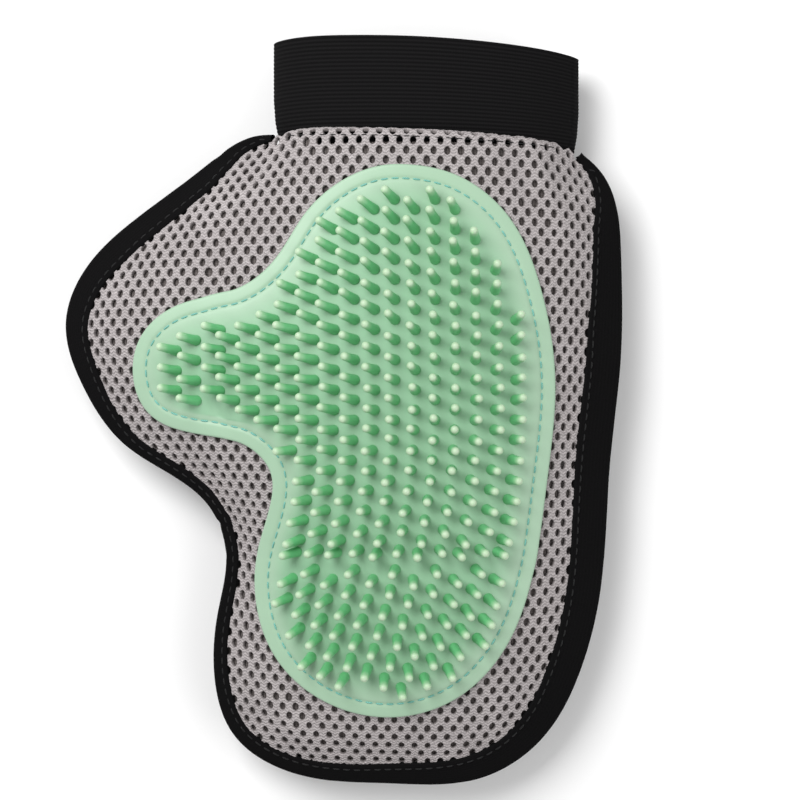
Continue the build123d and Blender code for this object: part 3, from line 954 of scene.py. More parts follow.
# ---- Panels --------------------------------------------------------------------------------------
@dataclass
class Panel:
    """One panel of the mitt: a perforated spacer mesh over a dark lining.

    Attributes:
        form: the mitt's shape.
        maker: makes the objects.
        side: which panel it is.
        pitch: the holes' spacing along a row.
        row: the spacing of the rows, every second one half a pitch over.
        hole_width: a hole's width.
        hole_height: a hole's height.
        depth: how deep a hole's wall goes.
        span: how far the pattern goes from the centre.
        uneven: how much the holes differ in size.
        roll: the radius of the fold at the mouth, which the mesh covers for roll_share radii.
        tuck: how far the mesh stays behind the edge near the mouth's corners.
        spare: how far it stays behind the edge elsewhere.
        gather: where the tape starts to draw it in, and gathered how much.
        hem: the stretch before the mouth that isn't cut by the sewn edge.
        under_pad: how far it goes on under the pad.
        lining_drop: how far the lining lies under the mesh.
        lining_step: the spacing of the lining's points.
        lining_inset: how far the lining stays inside the sewn edge, and lining_hem inside the mouth.
        corners: where the mouth's corners begin.
    """

    form: Form
    maker: Maker
    side: Side
    pitch: float = 4.25 * MM
    row: float = 3.12 * MM
    hole_width: float = 2.0 * MM
    hole_height: float = 2.8 * MM
    depth: float = 1.25 * MM
    span: float = 0.17
    uneven: float = 0.05
    roll: float = 1.8 * MM
    roll_share: float = 1.2
    tuck: float = 2.5 * MM
    spare: float = 0.4 * MM
    gather: float = 2.6 * MM
    gathered: float = 0.85
    hem: float = 12 * MM
    under_pad: float = 7 * MM
    lining_drop: float = 1.75 * MM
    lining_step: float = 2.4 * MM
    lining_inset: float = 3.2 * MM
    lining_hem: float = 1.5 * MM
    corners: tuple[float, float] = (-0.016, 0.070)

    @property
    def label(self) -> str:
        """The panel's name."""
        return "palm" if self.side is Side.PALM else "back"

    def _kept(self, x: np.ndarray, y: np.ndarray, margin: float) -> np.ndarray:
        """Which plan points lie on the panel, and aren't hidden well under the pad."""
        reach = self.form.distance(x, y)
        inside = reach < self.form.radius_at(self.form.edge_radius, x, y) - self.spare
        inside |= (y > self.form.mouth_y(x) - self.hem) & (reach < 0.12)
        below = np.minimum(y, self.form.mouth_y(x) - 1.2 * MM)
        sides = self.form.radius_at(self.form.edge_radius, x, below)
        near_corner = (x < self.corners[0]) | (x > self.corners[1])
        inside &= ~near_corner | (self.form.distance(x, below) < sides - margin)
        inside &= y < self.form.mouth_y(x) + self.roll * self.roll_share
        if self.side is Side.PALM:
            inside &= reach > self.form.radius_at(self.form.pad_radius, x, y) - self.under_pad
        return inside

    def _cell(self) -> list[tuple[np.ndarray, float, float]]:
        """The rings of one cell, from its boundary down the hole: plan, height and the share of painted
        shade, darker down the hole.
        """
        half = self.pitch / 2
        side_y = (self.row**2 - half**2) / (2 * self.row)
        top_y = (self.row**2 + half**2) / (2 * self.row)
        right = [(half, -side_y), (half, side_y), (0, top_y)]
        corners = right + [(-x, -y) for x, y in right]
        boundary = []
        for (x1, y1), (x2, y2) in zip(corners, corners[1:] + corners[:1]):
            boundary += [(x1, y1), ((x1 + x2) / 2, (y1 + y2) / 2)]
        boundary = np.array(boundary)
        angle = np.arctan2(boundary[:, 1] / self.hole_height, boundary[:, 0] / self.hole_width)
        rim = np.stack([np.cos(angle) * self.hole_width, np.sin(angle) * self.hole_height], axis=1) / 2
        # The third number of each ring is its share of painted shade, darkest at the bottom of the hole.
        return [
            (boundary, 0.0, 0.0),
            (boundary * 0.52 + rim * 0.48, 0.14 * MM, 0.0),
            (rim * 1.10, 0.02 * MM, 0.05),
            (rim * 0.99, -0.28 * MM, 0.35),
            (rim * 0.93, -self.depth, 1.0),
        ]

    def _lattice(self) -> np.ndarray:
        """The middle of every hole on the flat cloth."""
        columns = np.arange(-int(self.span / self.pitch), int(self.span / self.pitch) + 1)
        rows = np.arange(-int(self.span / self.row), int(self.span / self.row) + 1)
        half = self.pitch / 2
        cells = np.array([(c * self.pitch + (r % 2) * half, r * self.row) for r in rows for c in columns])
        x, y = self.form.unroll(self.side, cells)
        return cells[self._kept(x, y, self.tuck) & (np.hypot(cells[:, 0], cells[:, 1]) < self.span)]

    def mesh_surface(self) -> Surface:
        """The perforated mesh: one cell for each hole, with rounded yarn between the holes."""
        rings, cells = self._cell(), self._lattice()
        random = np.random.default_rng(SEED)
        wobble = random.normal(0, self.uneven, (len(cells), 1, 1))
        # dark holds each point's share of painted shade down the hole's wall.
        flat, lift, dark = [], [], []
        for k, (shape, height, depth) in enumerate(rings):
            scale = 1 + (wobble if 0 < k else 0)
            flat.append(cells[:, None, :] + shape[None] * scale)
            lift.append(np.full((len(cells), len(shape)), height))
            dark.append(np.full((len(cells), len(shape)), depth))
        count, sides = len(rings), len(rings[0][0])
        flat = np.stack(flat, axis=1).reshape(-1, 2)
        lift = np.stack(lift, axis=1).ravel()
        dark = np.stack(dark, axis=1).ravel()
        faces = []
        for cell in range(len(cells)):
            start = cell * count * sides
            for k in range(count - 1):
                for j in range(sides):
                    a, b = start + k * sides + j, start + k * sides + (j + 1) % sides
                    faces.append((a, b, b + sides, a + sides))
        grain = 0.01 * MM
        levels = np.round(lift / grain)[:, None].astype(np.int64)
        keys = np.round(flat / grain).astype(np.int64) * 1000 + levels
        _, first, shared = np.unique(keys, axis=0, return_index=True, return_inverse=True)
        shared = shared.ravel()
        faces = [[int(shared[i]) for i in face] for face in faces]
        faces = [face if self.side is Side.PALM else face[::-1] for face in faces if len(set(face)) == 4]
        flat, lift, dark = flat[first], lift[first], dark[first]
        x, y = self._drawn_in(*self.form.unroll(self.side, self._strayed(flat)))
        points = self.form.on_panel(self.side, x, y, lift, self.roll)
        # The depth attribute carries the painted shade down the holes.
        return Surface(points, faces, flat, {"depth": dark})

    def _drawn_in(self, x: np.ndarray, y: np.ndarray) -> tuple[np.ndarray, np.ndarray]:
        """Plan points drawn in from the sewn edge, where the tape hides them."""
        reach = self.form.distance(x, y)
        over = np.maximum(reach - self.form.radius_at(self.form.edge_radius, x, y) + self.gather, 0)
        over = np.where(y < self.form.mouth_y(x) - 4 * MM, over, 0)
        share = 1 - self.gathered * over / np.maximum(reach, 1 * MM)
        middle_x, middle_y = self.form.centre
        return middle_x + (x - middle_x) * share, middle_y + (y - middle_y) * share

    def _strayed(self, flat: np.ndarray) -> np.ndarray:
        """The flat pattern with the slow drift of hand-fed cloth."""
        drift_x = np.sin(flat[:, 1] * 43 + 1.0) * np.cos(flat[:, 0] * 31) * 0.7 * MM
        drift_y = np.sin(flat[:, 0] * 37 + 0.4) * np.cos(flat[:, 1] * 29) * 0.6 * MM
        return flat + np.stack([drift_x, drift_y], axis=1)

    def lining_surface(self) -> Surface:
        """The lining: a smooth sheet close under the mesh."""
        line = np.arange(-0.14, 0.14, self.lining_step)
        u, v = np.meshgrid(line, line, indexing="ij")
        flat = np.stack([u.ravel(), v.ravel()], axis=1)
        faces = grid_faces(len(line), len(line), flip=self.side is Side.BACK)
        x, y = self.form.unroll(self.side, flat)
        edge = self.form.radius_at(self.form.edge_radius, x, y)
        inside = self.form.distance(x, y) < edge - self.lining_inset
        inside &= y < self.form.mouth_y(x) - self.lining_hem
        keep = np.array([inside[face].all() for face in faces])
        lift = np.full(len(x), -self.lining_drop)
        return Surface(self.form.on_panel(self.side, x, y, lift), faces, flat).taken(keep)

    def build(self, yarn: bpy.types.Material, cloth: bpy.types.Material) -> None:
        mesh, lining = f"{self.label}_mesh", f"{self.label}_lining"
        for made in self.maker.split(f"{mesh}_knit", self.mesh_surface(), yarn, "air_mesh", mesh):
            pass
        for made in self.maker.split(f"{lining}_cloth", self.lining_surface(), cloth, "lining", lining):
            flat = np.array([loop.uv for loop in made.data.uv_layers["flat"].data])
            size = flat.max(axis=0) - flat.min(axis=0)
            area = sum(polygon.area for polygon in made.data.polygons)
            area = min(max(area, 0.3 * size[0] * size[1]), size[0] * size[1])


# ---- Pad, pins and stitches ------------------------------------------------------------------------
@dataclass
class RubberPad:
    """The moulded pad: a thin slab with a rounded edge and a shallow groove along its seam.

    Attributes:
        form: the mitt's shape.
        maker: makes the objects.
        thickness: how far the face stands off the mesh.
        edge_round: the radius of the edge.
        seam_inset: how far from the edge the seam runs.
        groove: the depth of the groove along the seam, groove_width wide.
        under: how far the pad's underside goes in, out of sight, in millimetres.
        rim_rows: how far from the edge the rows of points near it lie, in millimetres.
        face_rows: how many rows there are from the last of them to the centre.
        pale, plain: the share of the paler colour at the edge and in the middle; the darker middle is painted
            shade among the pins.
        pale_fade: how far in the edge's paler colour goes.
    """

    form: Form
    maker: Maker
    thickness: float = 1.75 * MM
    edge_round: float = 0.8 * MM
    seam_inset: float = 4.5 * MM
    groove: float = 0.35 * MM
    groove_width: float = 0.7 * MM
    under: float = 1.2
    rim_rows: tuple = (
        0.0, 0.06, 0.25, 0.5, 0.8, 1.3, 2.2, 3.2, 3.7, 4.0, 4.25, 4.5, 4.75, 5.0, 5.3, 6.0,
    )
    face_rows: int = 42
    pale: float = 0.95
    plain: float = 0.12
    pale_fade: float = 9 * MM

    def lift_at(self, inset: np.ndarray) -> np.ndarray:
        """How far the pad's face stands off the mesh, by the distance from the pad's edge."""
        short = np.clip(1 - inset / self.edge_round, 0, 1)
        dome = self.thickness - self.edge_round * (1 - np.sqrt(1 - short**2))
        seam = np.exp(-((inset - self.seam_inset) / self.groove_width) ** 2)
        return dome - self.groove * seam

    def surface(self) -> Surface:
        """The pad's face, edge and a narrow return under it."""
        insets = np.array([self.under, 0.0, *self.rim_rows]) * MM
        lifts = self.lift_at(insets)
        lifts[:2] = 0.0
        columns = self.form.angles
        loop = self.form.loop(self.form.pad_radius)
        inward = inward_of(np.roll(loop, -3, axis=0) - np.roll(loop, 3, axis=0))
        rows, lift, bloom = [], [], []
        for inset, height in zip(insets, lifts):
            rows.append(loop + inward * inset)
            lift.append(np.full(columns, height))
            bloom.append(np.full(columns, self.pale))
        last = rows[-1]
        for share in np.linspace(0, 1, self.face_rows)[1:-1]:
            rows.append(last * (1 - share) + self.form.centre * share)
            lift.append(np.full(columns, self.thickness))
            # Painted shade among the pins: the paler colour fades out inwards from the edge.
            reach = np.linalg.norm(rows[-1] - last, axis=1)
            bloom.append(np.clip(1.0 - reach / self.pale_fade, self.plain, self.pale))
        plan = np.vstack(rows)
        points = self.form.on_panel(Side.PALM, plan[:, 0], plan[:, 1], np.concatenate(lift))
        faces = grid_faces(len(rows), columns, closed=True)
        tip = len(points)
        middle = self.form.on_panel(
            Side.PALM, self.form.centre[:1], self.form.centre[1:], np.array([self.thickness])
        )
        start = (len(rows) - 1) * columns
        faces += [[start + j, start + (j + 1) % columns, tip] for j in range(columns)]
        marks = {"bloom": np.concatenate(bloom + [[self.plain]])}
        return Surface(np.vstack([points, middle]), faces, None, marks)

    def build(self, rubber: bpy.types.Material) -> None:
        """Make the pad."""
        self.maker.split("rubber_pad_moulding", self.surface(), rubber, "pad_rubber", "rubber_pad")


@dataclass
class Pins:
    """The moulded pins, each flared at its root, bent as it leans, and round at its tip.

    Attributes:
        form: the mitt's shape.
        maker: makes the objects.
        pad_face: how far the pad's face stands off the mesh.
        length: a pin's length from its hidden foot, which lies the sink under the face.
        sides: how many points go round a pin.
        root, waist, tip: its radius just above the flare, in the middle and at the tip.
        flare: its radius where it meets the pad.
        bend: over what height it bends from upright to its lean.
        stray: how much the pins' leans differ.
        pale_from, pale_over: where the painted highlight on the tip begins and how soon it is complete, as
            shares.
    """

    form: Form
    maker: Maker
    pad_face: float = 1.75 * MM
    length: float = 9.0 * MM
    sides: int = 14
    root: float = 1.62 * MM
    waist: float = 1.38 * MM
    tip: float = 1.36 * MM
    flare: float = 1.75 * MM
    sink: float = 1.2 * MM
    bend: float = 1.3 * MM
    stray: float = 0.035
    pale_from: float = 0.72
    pale_over: float = 0.25

    def places(self) -> list[tuple[np.ndarray, np.ndarray]]:
        """Each pin's foot and tip, from the CAD pins."""
        found = []
        for stem in ("bearing_pins", "fold_pins", "grooming_pins"):
            for name in nodes_like(self.form.frame, stem):
                mesh = self.form.frame["nodes"][name].data
                found += self._read(np.array([vertex.co for vertex in mesh.vertices]), mesh)
        return found

    @staticmethod
    def _read(points: np.ndarray, mesh: bpy.types.Mesh) -> list[tuple[np.ndarray, np.ndarray]]:
        """The foot and tip of each separate solid of one node."""
        keys = np.round(points / (0.001 * MM)).astype(np.int64)
        _, shared = np.unique(keys, axis=0, return_inverse=True)
        shared = shared.ravel()
        parent = list(range(shared.max() + 1))

        def find(i: int) -> int:
            """The first vertex of the solid that a vertex is in."""
            while parent[i] != i:
                parent[i] = parent[parent[i]]
                i = parent[i]
            return i

        for polygon in mesh.polygons:
            first = find(shared[polygon.vertices[0]])
            for vertex in polygon.vertices[1:]:
                parent[find(shared[vertex])] = first
        groups = {}
        for i, merged in enumerate(shared):
            groups.setdefault(find(merged), []).append(i)
        found = []
        for members in groups.values():
            solid = points[members]
            middle = solid.mean(axis=0)
            axis = np.linalg.svd(solid - middle)[2][0]
            axis = axis * (1 if axis[2] > 0 else -1)
            along = (solid - middle) @ axis
            foot = solid[along < along.min() + 0.3 * MM].mean(axis=0)
            found.append((foot, foot + axis * (along.max() - along.min())))
        return found

    def _rings(self) -> list[tuple[float, float]]:
        """A pin's outline: the height and the radius of each ring from foot to tip."""
        shoulder = self.length - self.tip
        rings = [
            (0.0, self.flare),
            (self.sink, self.flare),
            (self.sink + 0.4 * MM, self.root + 0.05 * MM),
            (self.sink + 0.9 * MM, self.root),
            (0.4 * self.length, (self.root + self.waist) / 2),
            (0.6 * self.length, self.waist),
            (shoulder, self.tip),
        ]
        for turn in (0.28, 0.55, 0.8, 1.0):
            angle = turn * math.pi / 2
            radius = max(self.tip * math.cos(angle), 0.02 * MM)
            rings.append((shoulder + self.tip * math.sin(angle), radius))
        return rings

    def surface(self, pins: list[tuple[np.ndarray, np.ndarray]]) -> Surface:
        """All the pins, given their feet and tips."""
        random = np.random.default_rng(SEED)
        rings = self._rings()
        around = np.linspace(0, 2 * math.pi, self.sides, endpoint=False)
        points, faces, bloom = [], [], []
        for foot, tip in pins:
            slope_x, slope_y = self.form.slope(Side.PALM, foot[:1], foot[1:2])
            upright = np.array([-slope_x[0], -slope_y[0], 1.0])
            upright /= np.linalg.norm(upright)
            lean = (tip - foot) / np.linalg.norm(tip - foot)
            lean = lean + np.append(random.normal(0, self.stray, 2), 0)
            face = self.form.on_panel(Side.PALM, foot[:1], foot[1:2], np.array([self.pad_face]))[0]
            base = face - upright * self.sink
            faces += tube_faces(len(points), len(rings), self.sides, flip=True)
            for height, radius in rings:
                # Painted highlight: paler towards the tip.
                share = (height / self.length - self.pale_from) / self.pale_over
                bend = math.exp(-height / self.bend)
                heading = lean + (upright - lean) * bend
                heading /= np.linalg.norm(heading)
                centre = base + lean * height + (upright - lean) * (self.bend * (1 - bend))
                first = np.cross(heading, [0.0, 1.0, 0.0])
                first /= np.linalg.norm(first)
                second = np.cross(heading, first)
                for angle in around:
                    points.append(centre + (first * math.cos(angle) + second * math.sin(angle)) * radius)
                    bloom.append(min(max(share, 0.0), 1.0))
        return Surface(np.array(points), faces, None, {"bloom": np.array(bloom)})

    def build(self, rubber: bpy.types.Material) -> None:
        """Make the pins as two objects, each pin whole."""
        pins = self.places()
        for part, surface in self.maker.halves(self.surface(pins), len(pins)):
            made = self.maker.build(f"pins_{part.value}", surface, rubber, "pin_rubber")
            self.maker.bend(made, part)
            for stem in ("grooming_pins", "bearing_pins", "fold_pins"):
                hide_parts(*[f"{stem}_{body}" for body in part.bodies])


@dataclass
class Seam:
    """A row of stitches: short rounded threads whose ends dive into the cloth.

    Attributes:
        form: the mitt's shape.
        maker: makes the objects.
        name: what the objects are called.
        route: the middle of each stitch in plan.
        lift: how far the cloth's face stands off the panel.
        slot: the record's material slot.
        stem: how the names of the CAD nodes begin that the seam stands for.
        length: a stitch's length.
        radius: the thread's radius.
        sides: how many points go round it.
        cuts: how many rings it has.
        proud: how far a stitch's middle stands off the cloth, in radii.
        dive: how far its ends go down from there, in radii, for a whole length.
    """

    form: Form
    maker: Maker
    name: str
    route: np.ndarray
    lift: float
    slot: str
    stem: str
    length: float = 2.6 * MM
    radius: float = 0.27 * MM
    sides: int = 8
    cuts: int = 7
    proud: float = 0.6
    dive: float = 11.0

    def surface(self) -> Surface:
        """All the stitches."""
        ahead = np.roll(self.route, -1, axis=0) - np.roll(self.route, 1, axis=0)
        ahead /= np.linalg.norm(ahead, axis=1)[:, None]
        shares = np.linspace(-0.5, 0.5, self.cuts)
        around = np.linspace(0, 2 * math.pi, self.sides, endpoint=False)
        points, faces = [], []
        for place, heading in zip(self.route, ahead):
            plan = place + heading * shares[:, None] * self.length
            lift = self.lift + self.radius * (self.proud - self.dive * np.abs(shares) ** 3)
            spine = self.form.on_panel(Side.PALM, plan[:, 0], plan[:, 1], lift)
            run = np.gradient(spine, axis=0)
            run /= np.linalg.norm(run, axis=1)[:, None]
            faces += tube_faces(len(points), self.cuts, self.sides)
            for middle, course, share in zip(spine, run, shares):
                across = np.cross(course, [0.0, 0.0, 1.0])
                across /= np.linalg.norm(across)
                up = np.cross(across, course)
                size = self.radius * math.sqrt(max(1 - (2 * share) ** 4, 0.05))
                for angle in around:
                    points.append(middle + (across * math.cos(angle) + up * math.sin(angle)) * size)
        return Surface(np.array(points), faces)

    def build(self, thread: bpy.types.Material) -> None:
        """Make the seam as two objects, each stitch whole."""
        for part, surface in self.maker.halves(self.surface(), len(self.route)):
            made = self.maker.build(f"{self.name}_{part.value}", surface, thread, self.slot)
            self.maker.bend(made, part)
            names = [f"{self.stem}_{body}" for body in part.bodies]
            names = [name for name in names if name in self.form.frame["nodes"]] or [self.stem]
            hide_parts(*names)


# ---- Edge binding and cuff -----------------------------------------------------------------------
@dataclass
class EdgeBinding:
    """Padded tape folded over the sewn edge, from one corner of the mouth round to the other.

    Attributes:
        form: the mitt's shape.
        maker: makes the objects.
        widths: the palm side's width in millimetres at shares of the way round.
        back_width: the most that the back side's width may be.
        back_extra: how much wider the back side is than the palm side below that.
        puff: how thick the padding is.
        profile: the tape's section from its inner edge outwards, as shares of width and puff.
        wall: the levels between the two faces at which the outer wall has points.
        bulge: how far the wall stands out.
        waver: how much the inner edge wanders, averaged over a window of points.
        spacing: the spacing of the points along it.
        corner_gap: how far before the mouth it ends.
    """

    form: Form
    maker: Maker
    widths: tuple = (
        (0.0, 2.5), (0.05, 7.4), (0.12, 8.8), (0.20, 7.0), (0.26, 4.2),
        (0.33, 4.0), (0.41, 4.6), (0.47, 5.6), (0.53, 6.2), (0.60, 8.6),
        (0.68, 10.8), (0.78, 11.6), (0.89, 11.8), (0.95, 9.2), (1.0, 2.0),
    )
    back_width: float = 9.0 * MM
    back_extra: float = 1.5 * MM
    puff: float = 1.0 * MM
    profile: tuple = (
        (1.0, -0.5), (1.0, 0.35), (0.93, 0.85), (0.8, 1.0),
        (0.6, 1.1), (0.4, 1.1), (0.22, 1.0), (0.1, 0.8),
    )
    wall: tuple = (0.72, 0.25, -0.25, -0.72)
    bulge: float = 0.35 * MM
    waver: float = 0.9 * MM
    window: int = 41
    spacing: float = 0.9 * MM
    corner_gap: float = 0.8 * MM

    def route(self) -> tuple[np.ndarray, np.ndarray, np.ndarray]:
        """The outer edge from the thumb's corner round to the other, its inward heading and its shares."""
        loop = self.form.loop(self.form.edge_radius)
        below = loop[:, 1] < self.form.mouth_y(loop[:, 0]) - self.corner_gap
        start = int(np.argmax(below & ~np.roll(below, 1)))
        loop = np.roll(loop, -start, axis=0)
        below = np.roll(below, -start)
        loop = loop[below]
        for _ in range(4):
            loop[1:-1] = (loop[:-2] + 2 * loop[1:-1] + loop[2:]) / 4
        line = evenly(loop, self.spacing)
        return line, inward_of(np.gradient(line, axis=0)), np.linspace(0, 1, len(line))

    def _palm_width(self, share: np.ndarray) -> np.ndarray:
        """The palm side's width at shares of the way round."""
        places, widths = zip(*self.widths)
        return np.interp(share, places, widths) * MM

    def surface(self) -> Surface:
        """The tape's outer face, with its edges turned down into the panels."""
        line, inward, share = self.route()
        palm_width = self._palm_width(share)
        back_width = np.minimum(palm_width + self.back_extra, self.back_width)
        random = np.random.default_rng(SEED + 1)
        draws = random.normal(0, 1, len(line) + self.window - 1)
        waver = np.convolve(draws, np.ones(self.window) / self.window, "valid") * self.waver
        columns = []
        for side, width in ((Side.PALM, palm_width), (Side.BACK, back_width)):
            rows = []
            for reach, height in self.profile:
                plan = line + inward * (width * reach + waver * reach)[:, None]
                lift = np.full(len(line), height * self.puff)
                rows.append(self.form.on_panel(side, plan[:, 0], plan[:, 1], lift))
            rows = rows if side is Side.PALM else rows[::-1]
            columns += rows
            if side is Side.PALM:
                top, low = rows[-1][:, 2], self.form.rim_z
                for level in self.wall:
                    plan = line - inward * (self.bulge * (1 - level**2))
                    z = low + (top - low) * level
                    columns.append(np.stack([plan[:, 0], plan[:, 1], z], axis=1))
        points = np.stack(columns, axis=0)
        points[..., 2] = np.maximum(points[..., 2], 0.05 * MM)
        gaps = np.linalg.norm(np.diff(points, axis=0), axis=2).mean(axis=1)
        across = np.concatenate([[0], np.cumsum(gaps)])
        flat = np.stack(np.meshgrid(run_along(line), across, indexing="xy"), axis=-1).reshape(-1, 2)
        rows, count = points.shape[:2]
        return Surface(points.reshape(-1, 3), grid_faces(rows, count, flip=True), flat)

    def stitch_route(self, inset: float = 1.3 * MM, spacing: float = 3.3 * MM) -> np.ndarray:
        """Where the binding's stitches lie: just inside its inner edge."""
        line, inward, share = self.route()
        return evenly(line + inward * (self._palm_width(share) - inset)[:, None], spacing)[1:-1]

    def build(self, tape: bpy.types.Material) -> None:
        """Make the binding."""
        surface = self.surface()
        for made in self.maker.split("edge_binding_tape", surface, tape, "binding_tape", "edge_binding"):
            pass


@dataclass
class WristCuff:
    """The elastic tube, ribbed across, from inside the mouth to its woven upper edge.

    Attributes:
        form: the mitt's shape.
        maker: makes the objects.
        rib_pitch: the ribs' spacing.
        rib_depth: how deep the valleys between them are.
        wall: the cloth's thickness.
        around: how many directions the section is measured in.
        rows_per_rib: how many rows of points a rib has.
        inner_rows: how many rows the inner face has.
        squeeze: how much the panels press on the tube inside the mouth.
        taper: by what share it is narrower there.
        edge: the rolled upper edge's rise and its share of the wall, row by row.
    """

    form: Form
    maker: Maker
    rib_pitch: float = 1.22 * MM
    rib_depth: float = 0.16 * MM
    wall: float = 1.25 * MM
    around: int = 150
    rows_per_rib: int = 5
    inner_rows: int = 12
    squeeze: float = 1.0 * MM
    taper: float = 0.02
    edge: tuple = ((0.25 * MM, 0.25), (0.3 * MM, 0.7), (0.0, 1.0))

    def outline(self) -> tuple[np.ndarray, np.ndarray]:
        """The tube's section and its middle, read from the CAD cuff half way along its free stretch."""
        low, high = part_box("wrist_elastic")
        tree = tree_of(["wrist_elastic"], self.form.frame)
        middle = np.array([(low.x + high.x) / 2, (low.z + high.z) / 2])
        y = high.y - 14 * MM
        points = []
        for angle in np.linspace(0, 2 * math.pi, self.around, endpoint=False):
            heading = np.array([math.cos(angle), math.sin(angle)])
            reach = math.hypot(high.x - low.x, high.z - low.z)
            outside = middle + heading * reach
            hit = tree.ray_cast(Vector((outside[0], y, outside[1])), Vector((-heading[0], 0, -heading[1])))[0]
            points.append((hit.x, hit.z))
        points = ring_smooth(np.array(points), 3)
        return evenly(np.vstack([points, points[:1]]), 1.6 * MM), middle

    def top_edge(self) -> np.ndarray:
        """The upper edge in plan, as a curve of the second degree."""
        mesh = self.form.frame["nodes"]["wrist_elastic"].data
        points = np.array([vertex.co for vertex in mesh.vertices])
        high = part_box("wrist_elastic")[1]
        rim = points[points[:, 1] > high.y - 9 * MM]
        return np.polyfit(rim[:, 0], rim[:, 1], 2)

    def surface(self) -> Surface:
        """The outer face, the rolled upper edge and the inner face."""
        section, middle = self.outline()
        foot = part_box("wrist_elastic")[0].y + 1 * MM
        top = np.polyval(self.top_edge(), section[:, 0])
        height = float(np.polyval(self.top_edge(), middle[0]) - foot)
        rows = int(height / self.rib_pitch) * self.rows_per_rib
        inward = middle - section
        inward[:, 0] *= 0.35
        inward /= np.linalg.norm(inward, axis=1)[:, None]
        mouth = self.form.mouth_y(section[:, 0])
        run = run_along(section)
        points, marks, flat = [], [], []

        def add_row(x: np.ndarray, y: np.ndarray, z: np.ndarray, highlight_share: float, along: float) -> None:
            """Add one row of points with its share of painted highlight and its place on the flat cloth."""
            points.append(np.stack([x, y, z], axis=1))
            marks.append(np.full(len(section), highlight_share))
            flat.append(np.stack([run, np.full(len(run), along)], axis=1))

        def add_face_row(share: float, depth: float, highlight_share: float) -> None:
            """Add a row of the outer or the inner face, pressed in and narrowed inside the mouth."""
            y = foot + (top - foot) * share
            pressed = np.clip((mouth + 3 * MM - y) / (8 * MM), 0, 1) * self.squeeze
            narrow = 1 - self.taper * np.clip((mouth + 10 * MM - y) / (14 * MM), 0, 1)
            place = section + inward * (depth + pressed)[:, None]
            x = middle[0] + (place[:, 0] - middle[0]) * narrow
            add_row(x, y, place[:, 1], highlight_share, share * height)

        # Painted highlight share: full on each rib's crest, none in its valley; 0.6 on the rolled edge and
        # 0.3 on the inner face.
        for k in range(rows + 1):
            wave = math.cos(2 * math.pi * k / self.rows_per_rib)
            add_face_row(k / rows, self.rib_depth * (1 - wave) / 2, (1 + wave) / 2)
        for rise, depth in self.edge:
            place = section + inward * (self.wall * depth)
            add_row(place[:, 0], top + rise, place[:, 1], 0.6, height + depth * self.wall)
        for k in range(1, self.inner_rows + 1):
            add_face_row(1 - k / self.inner_rows * 0.95, self.wall, 0.3)
        count = len(points)
        stacked = np.vstack(points)
        stacked[:, 2] = np.maximum(stacked[:, 2], 0.1 * MM)
        faces = grid_faces(count, len(section), closed=True, flip=True)
        # The rib attribute carries the share of painted highlight.
        return Surface(stacked, faces, np.vstack(flat), {"rib": np.concatenate(marks)})

    def build(self, elastic: bpy.types.Material) -> None:
        """Make the cuff."""
        made = self.maker.build("wrist_elastic_band", self.surface(), elastic, "elastic")
        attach(made, "hand")
        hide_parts("wrist_elastic")

    def seam_route(self, inset: float = 2.6 * MM, spacing: float = 3.3 * MM) -> np.ndarray:
        """Where the cuff's stitches lie on the palm, just below the mouth's fold."""
        low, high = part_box("cuff_stitching")
        x = np.arange(low.x, high.x, spacing)
        return np.stack([x, self.form.mouth_y(x) - inset], axis=1)


# ---- Studio --------------------------------------------------------------------------------------
@dataclass
class Studio:
    """A plain pale floor, soft light from above and a camera that looks straight down."""

    camera_height: float = 0.700
    camera_aim: tuple[float, float] = (0.0180, 0.0039)
    lens: float = 95.0
    air: float = 0.42
    floor_half: float = 3.0

    def build(self, paper: bpy.types.Material) -> None:
        """Make the camera, the floor, the lights and the surroundings."""
        scene = bpy.context.scene
        data = bpy.data.cameras.new("camera")
        data.lens = self.lens
        data.clip_start = 0.05
        camera = bpy.data.objects.new("camera", data)
        camera.location = (*self.camera_aim, self.camera_height)
        scene.collection.objects.link(camera)
        scene.camera = camera
        self._floor(paper)
        self._light("key_light", (-0.34, 0.38, 0.70), 0.50, 6.8)
        self._light("fill_light", (0.55, -0.25, 0.60), 0.60, 2.2)
        world = bpy.data.worlds.new("studio_air")
        world.use_nodes = True
        world.node_tree.nodes["Background"].inputs["Color"].default_value = (1.0, 1.0, 1.0, 1.0)
        world.node_tree.nodes["Background"].inputs["Strength"].default_value = self.air
        scene.world = world
        scene.view_settings.view_transform = "Standard"

    def _floor(self, paper: bpy.types.Material) -> None:
        """Make the floor as one large sheet."""
        half = self.floor_half
        mesh = bpy.data.meshes.new("studio_floor")
        corners = [(-half, -half, 0), (half, -half, 0), (half, half, 0), (-half, half, 0)]
        mesh.from_pydata(corners, [], [(0, 1, 2, 3)])
        mesh.materials.append(paper)
        floor = bpy.data.objects.new("studio_floor", mesh)
        bpy.context.collection.objects.link(floor)
        floor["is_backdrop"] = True

    def _light(self, name: str, place: tuple, size: float, power: float) -> None:
        """Make one square soft light that faces the mitt."""
        data = bpy.data.lights.new(name, "AREA")
        data.size = size
        data.energy = power
        lamp = bpy.data.objects.new(name, data)
        lamp.location = place
        ray = Vector((*self.camera_aim, 0.0)) - Vector(place)
        lamp.rotation_euler = ray.to_track_quat("-Z", "Y").to_euler()
        bpy.context.collection.objects.link(lamp)


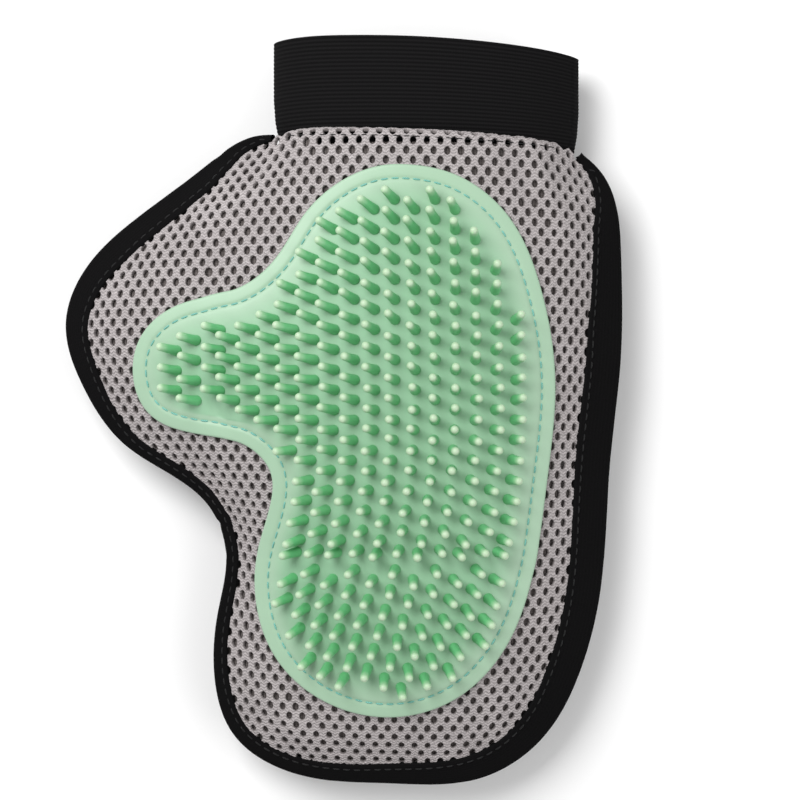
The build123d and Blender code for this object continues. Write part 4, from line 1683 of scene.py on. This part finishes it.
def folds() -> list[Crease]:
    """The soft folds of the palm: near the mouth's corners, at the finger ends and under the thumb."""
    return [
        Crease(0.066, 0.070, 1.9, 16 * MM, 3.5 * MM, 1.0 * MM),
        Crease(0.058, 0.073, 1.9, 14 * MM, 3.5 * MM, -0.9 * MM),
        Crease(-0.030, 0.074, 0.95, 12 * MM, 3.5 * MM, -1.1 * MM),
        Crease(-0.022, 0.078, 1.1, 10 * MM, 3.0 * MM, 0.8 * MM),
        Crease(-0.014, -0.094, -0.9, 12 * MM, 3.0 * MM, -1.0 * MM),
        Crease(-0.019, -0.100, -0.9, 9 * MM, 3.0 * MM, 0.8 * MM),
    ]


def main() -> None:
    """Build every piece in order."""
    logging.basicConfig(level=logging.INFO, format="%(message)s", stream=sys.stdout)
    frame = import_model()
    Studio().build(StudioPaper().make())
    form = Form(frame, creases=folds())
    maker = Maker(form)
    yarn, cloth = MeshYarn().make(), LiningCloth().make()
    pad_rubber = MintRubber().make()
    # The second colour is the painted highlight on the pins' tips.
    pin_body, pin_tip_highlight = rgb(0.135, 0.475, 0.20), rgb(0.49, 0.64, 0.45)
    pin_rubber = MintRubber("pin_rubber", pin_body, pin_tip_highlight, roughness=0.38, depth=0.25).make()
    teal = SewingThread("teal_thread", rgb(0.14, 0.42, 0.37), rgb(0.26, 0.58, 0.50)).make()
    black = SewingThread("black_thread", rgb(0.003, 0.003, 0.0032), rgb(0.010, 0.010, 0.0105)).make()
    for side in Side:
        Panel(form, maker, side).build(yarn, cloth)
    pad = RubberPad(form, maker)
    pad.build(pad_rubber)
    Pins(form, maker).build(pin_rubber)
    pad_route = form.ring(form.pad_radius, pad.seam_inset, 3.3 * MM)
    pad_lift = pad.thickness - pad.groove
    Seam(form, maker, "pad_stitches", pad_route, pad_lift, "teal_thread", "pad_stitching").build(teal)
    binding = EdgeBinding(form, maker)
    binding.build(BindingTape().make())
    tape_seam = Seam(
        form, maker, "binding_stitches", binding.stitch_route(), 0.9 * MM, "black_thread", "binding_stitching"
    )
    tape_seam.build(black)
    cuff = WristCuff(form, maker)
    cuff.build(ElasticWeave().make())
    cuff_seam = Seam(
        form,
        maker,
        "cuff_stitches",
        cuff.seam_route(),
        -0.1 * MM,
        "black_thread",
        "cuff_stitching",
        radius=0.2 * MM,
    )
    cuff_seam.build(black)


if __name__ == "__main__":
    main()
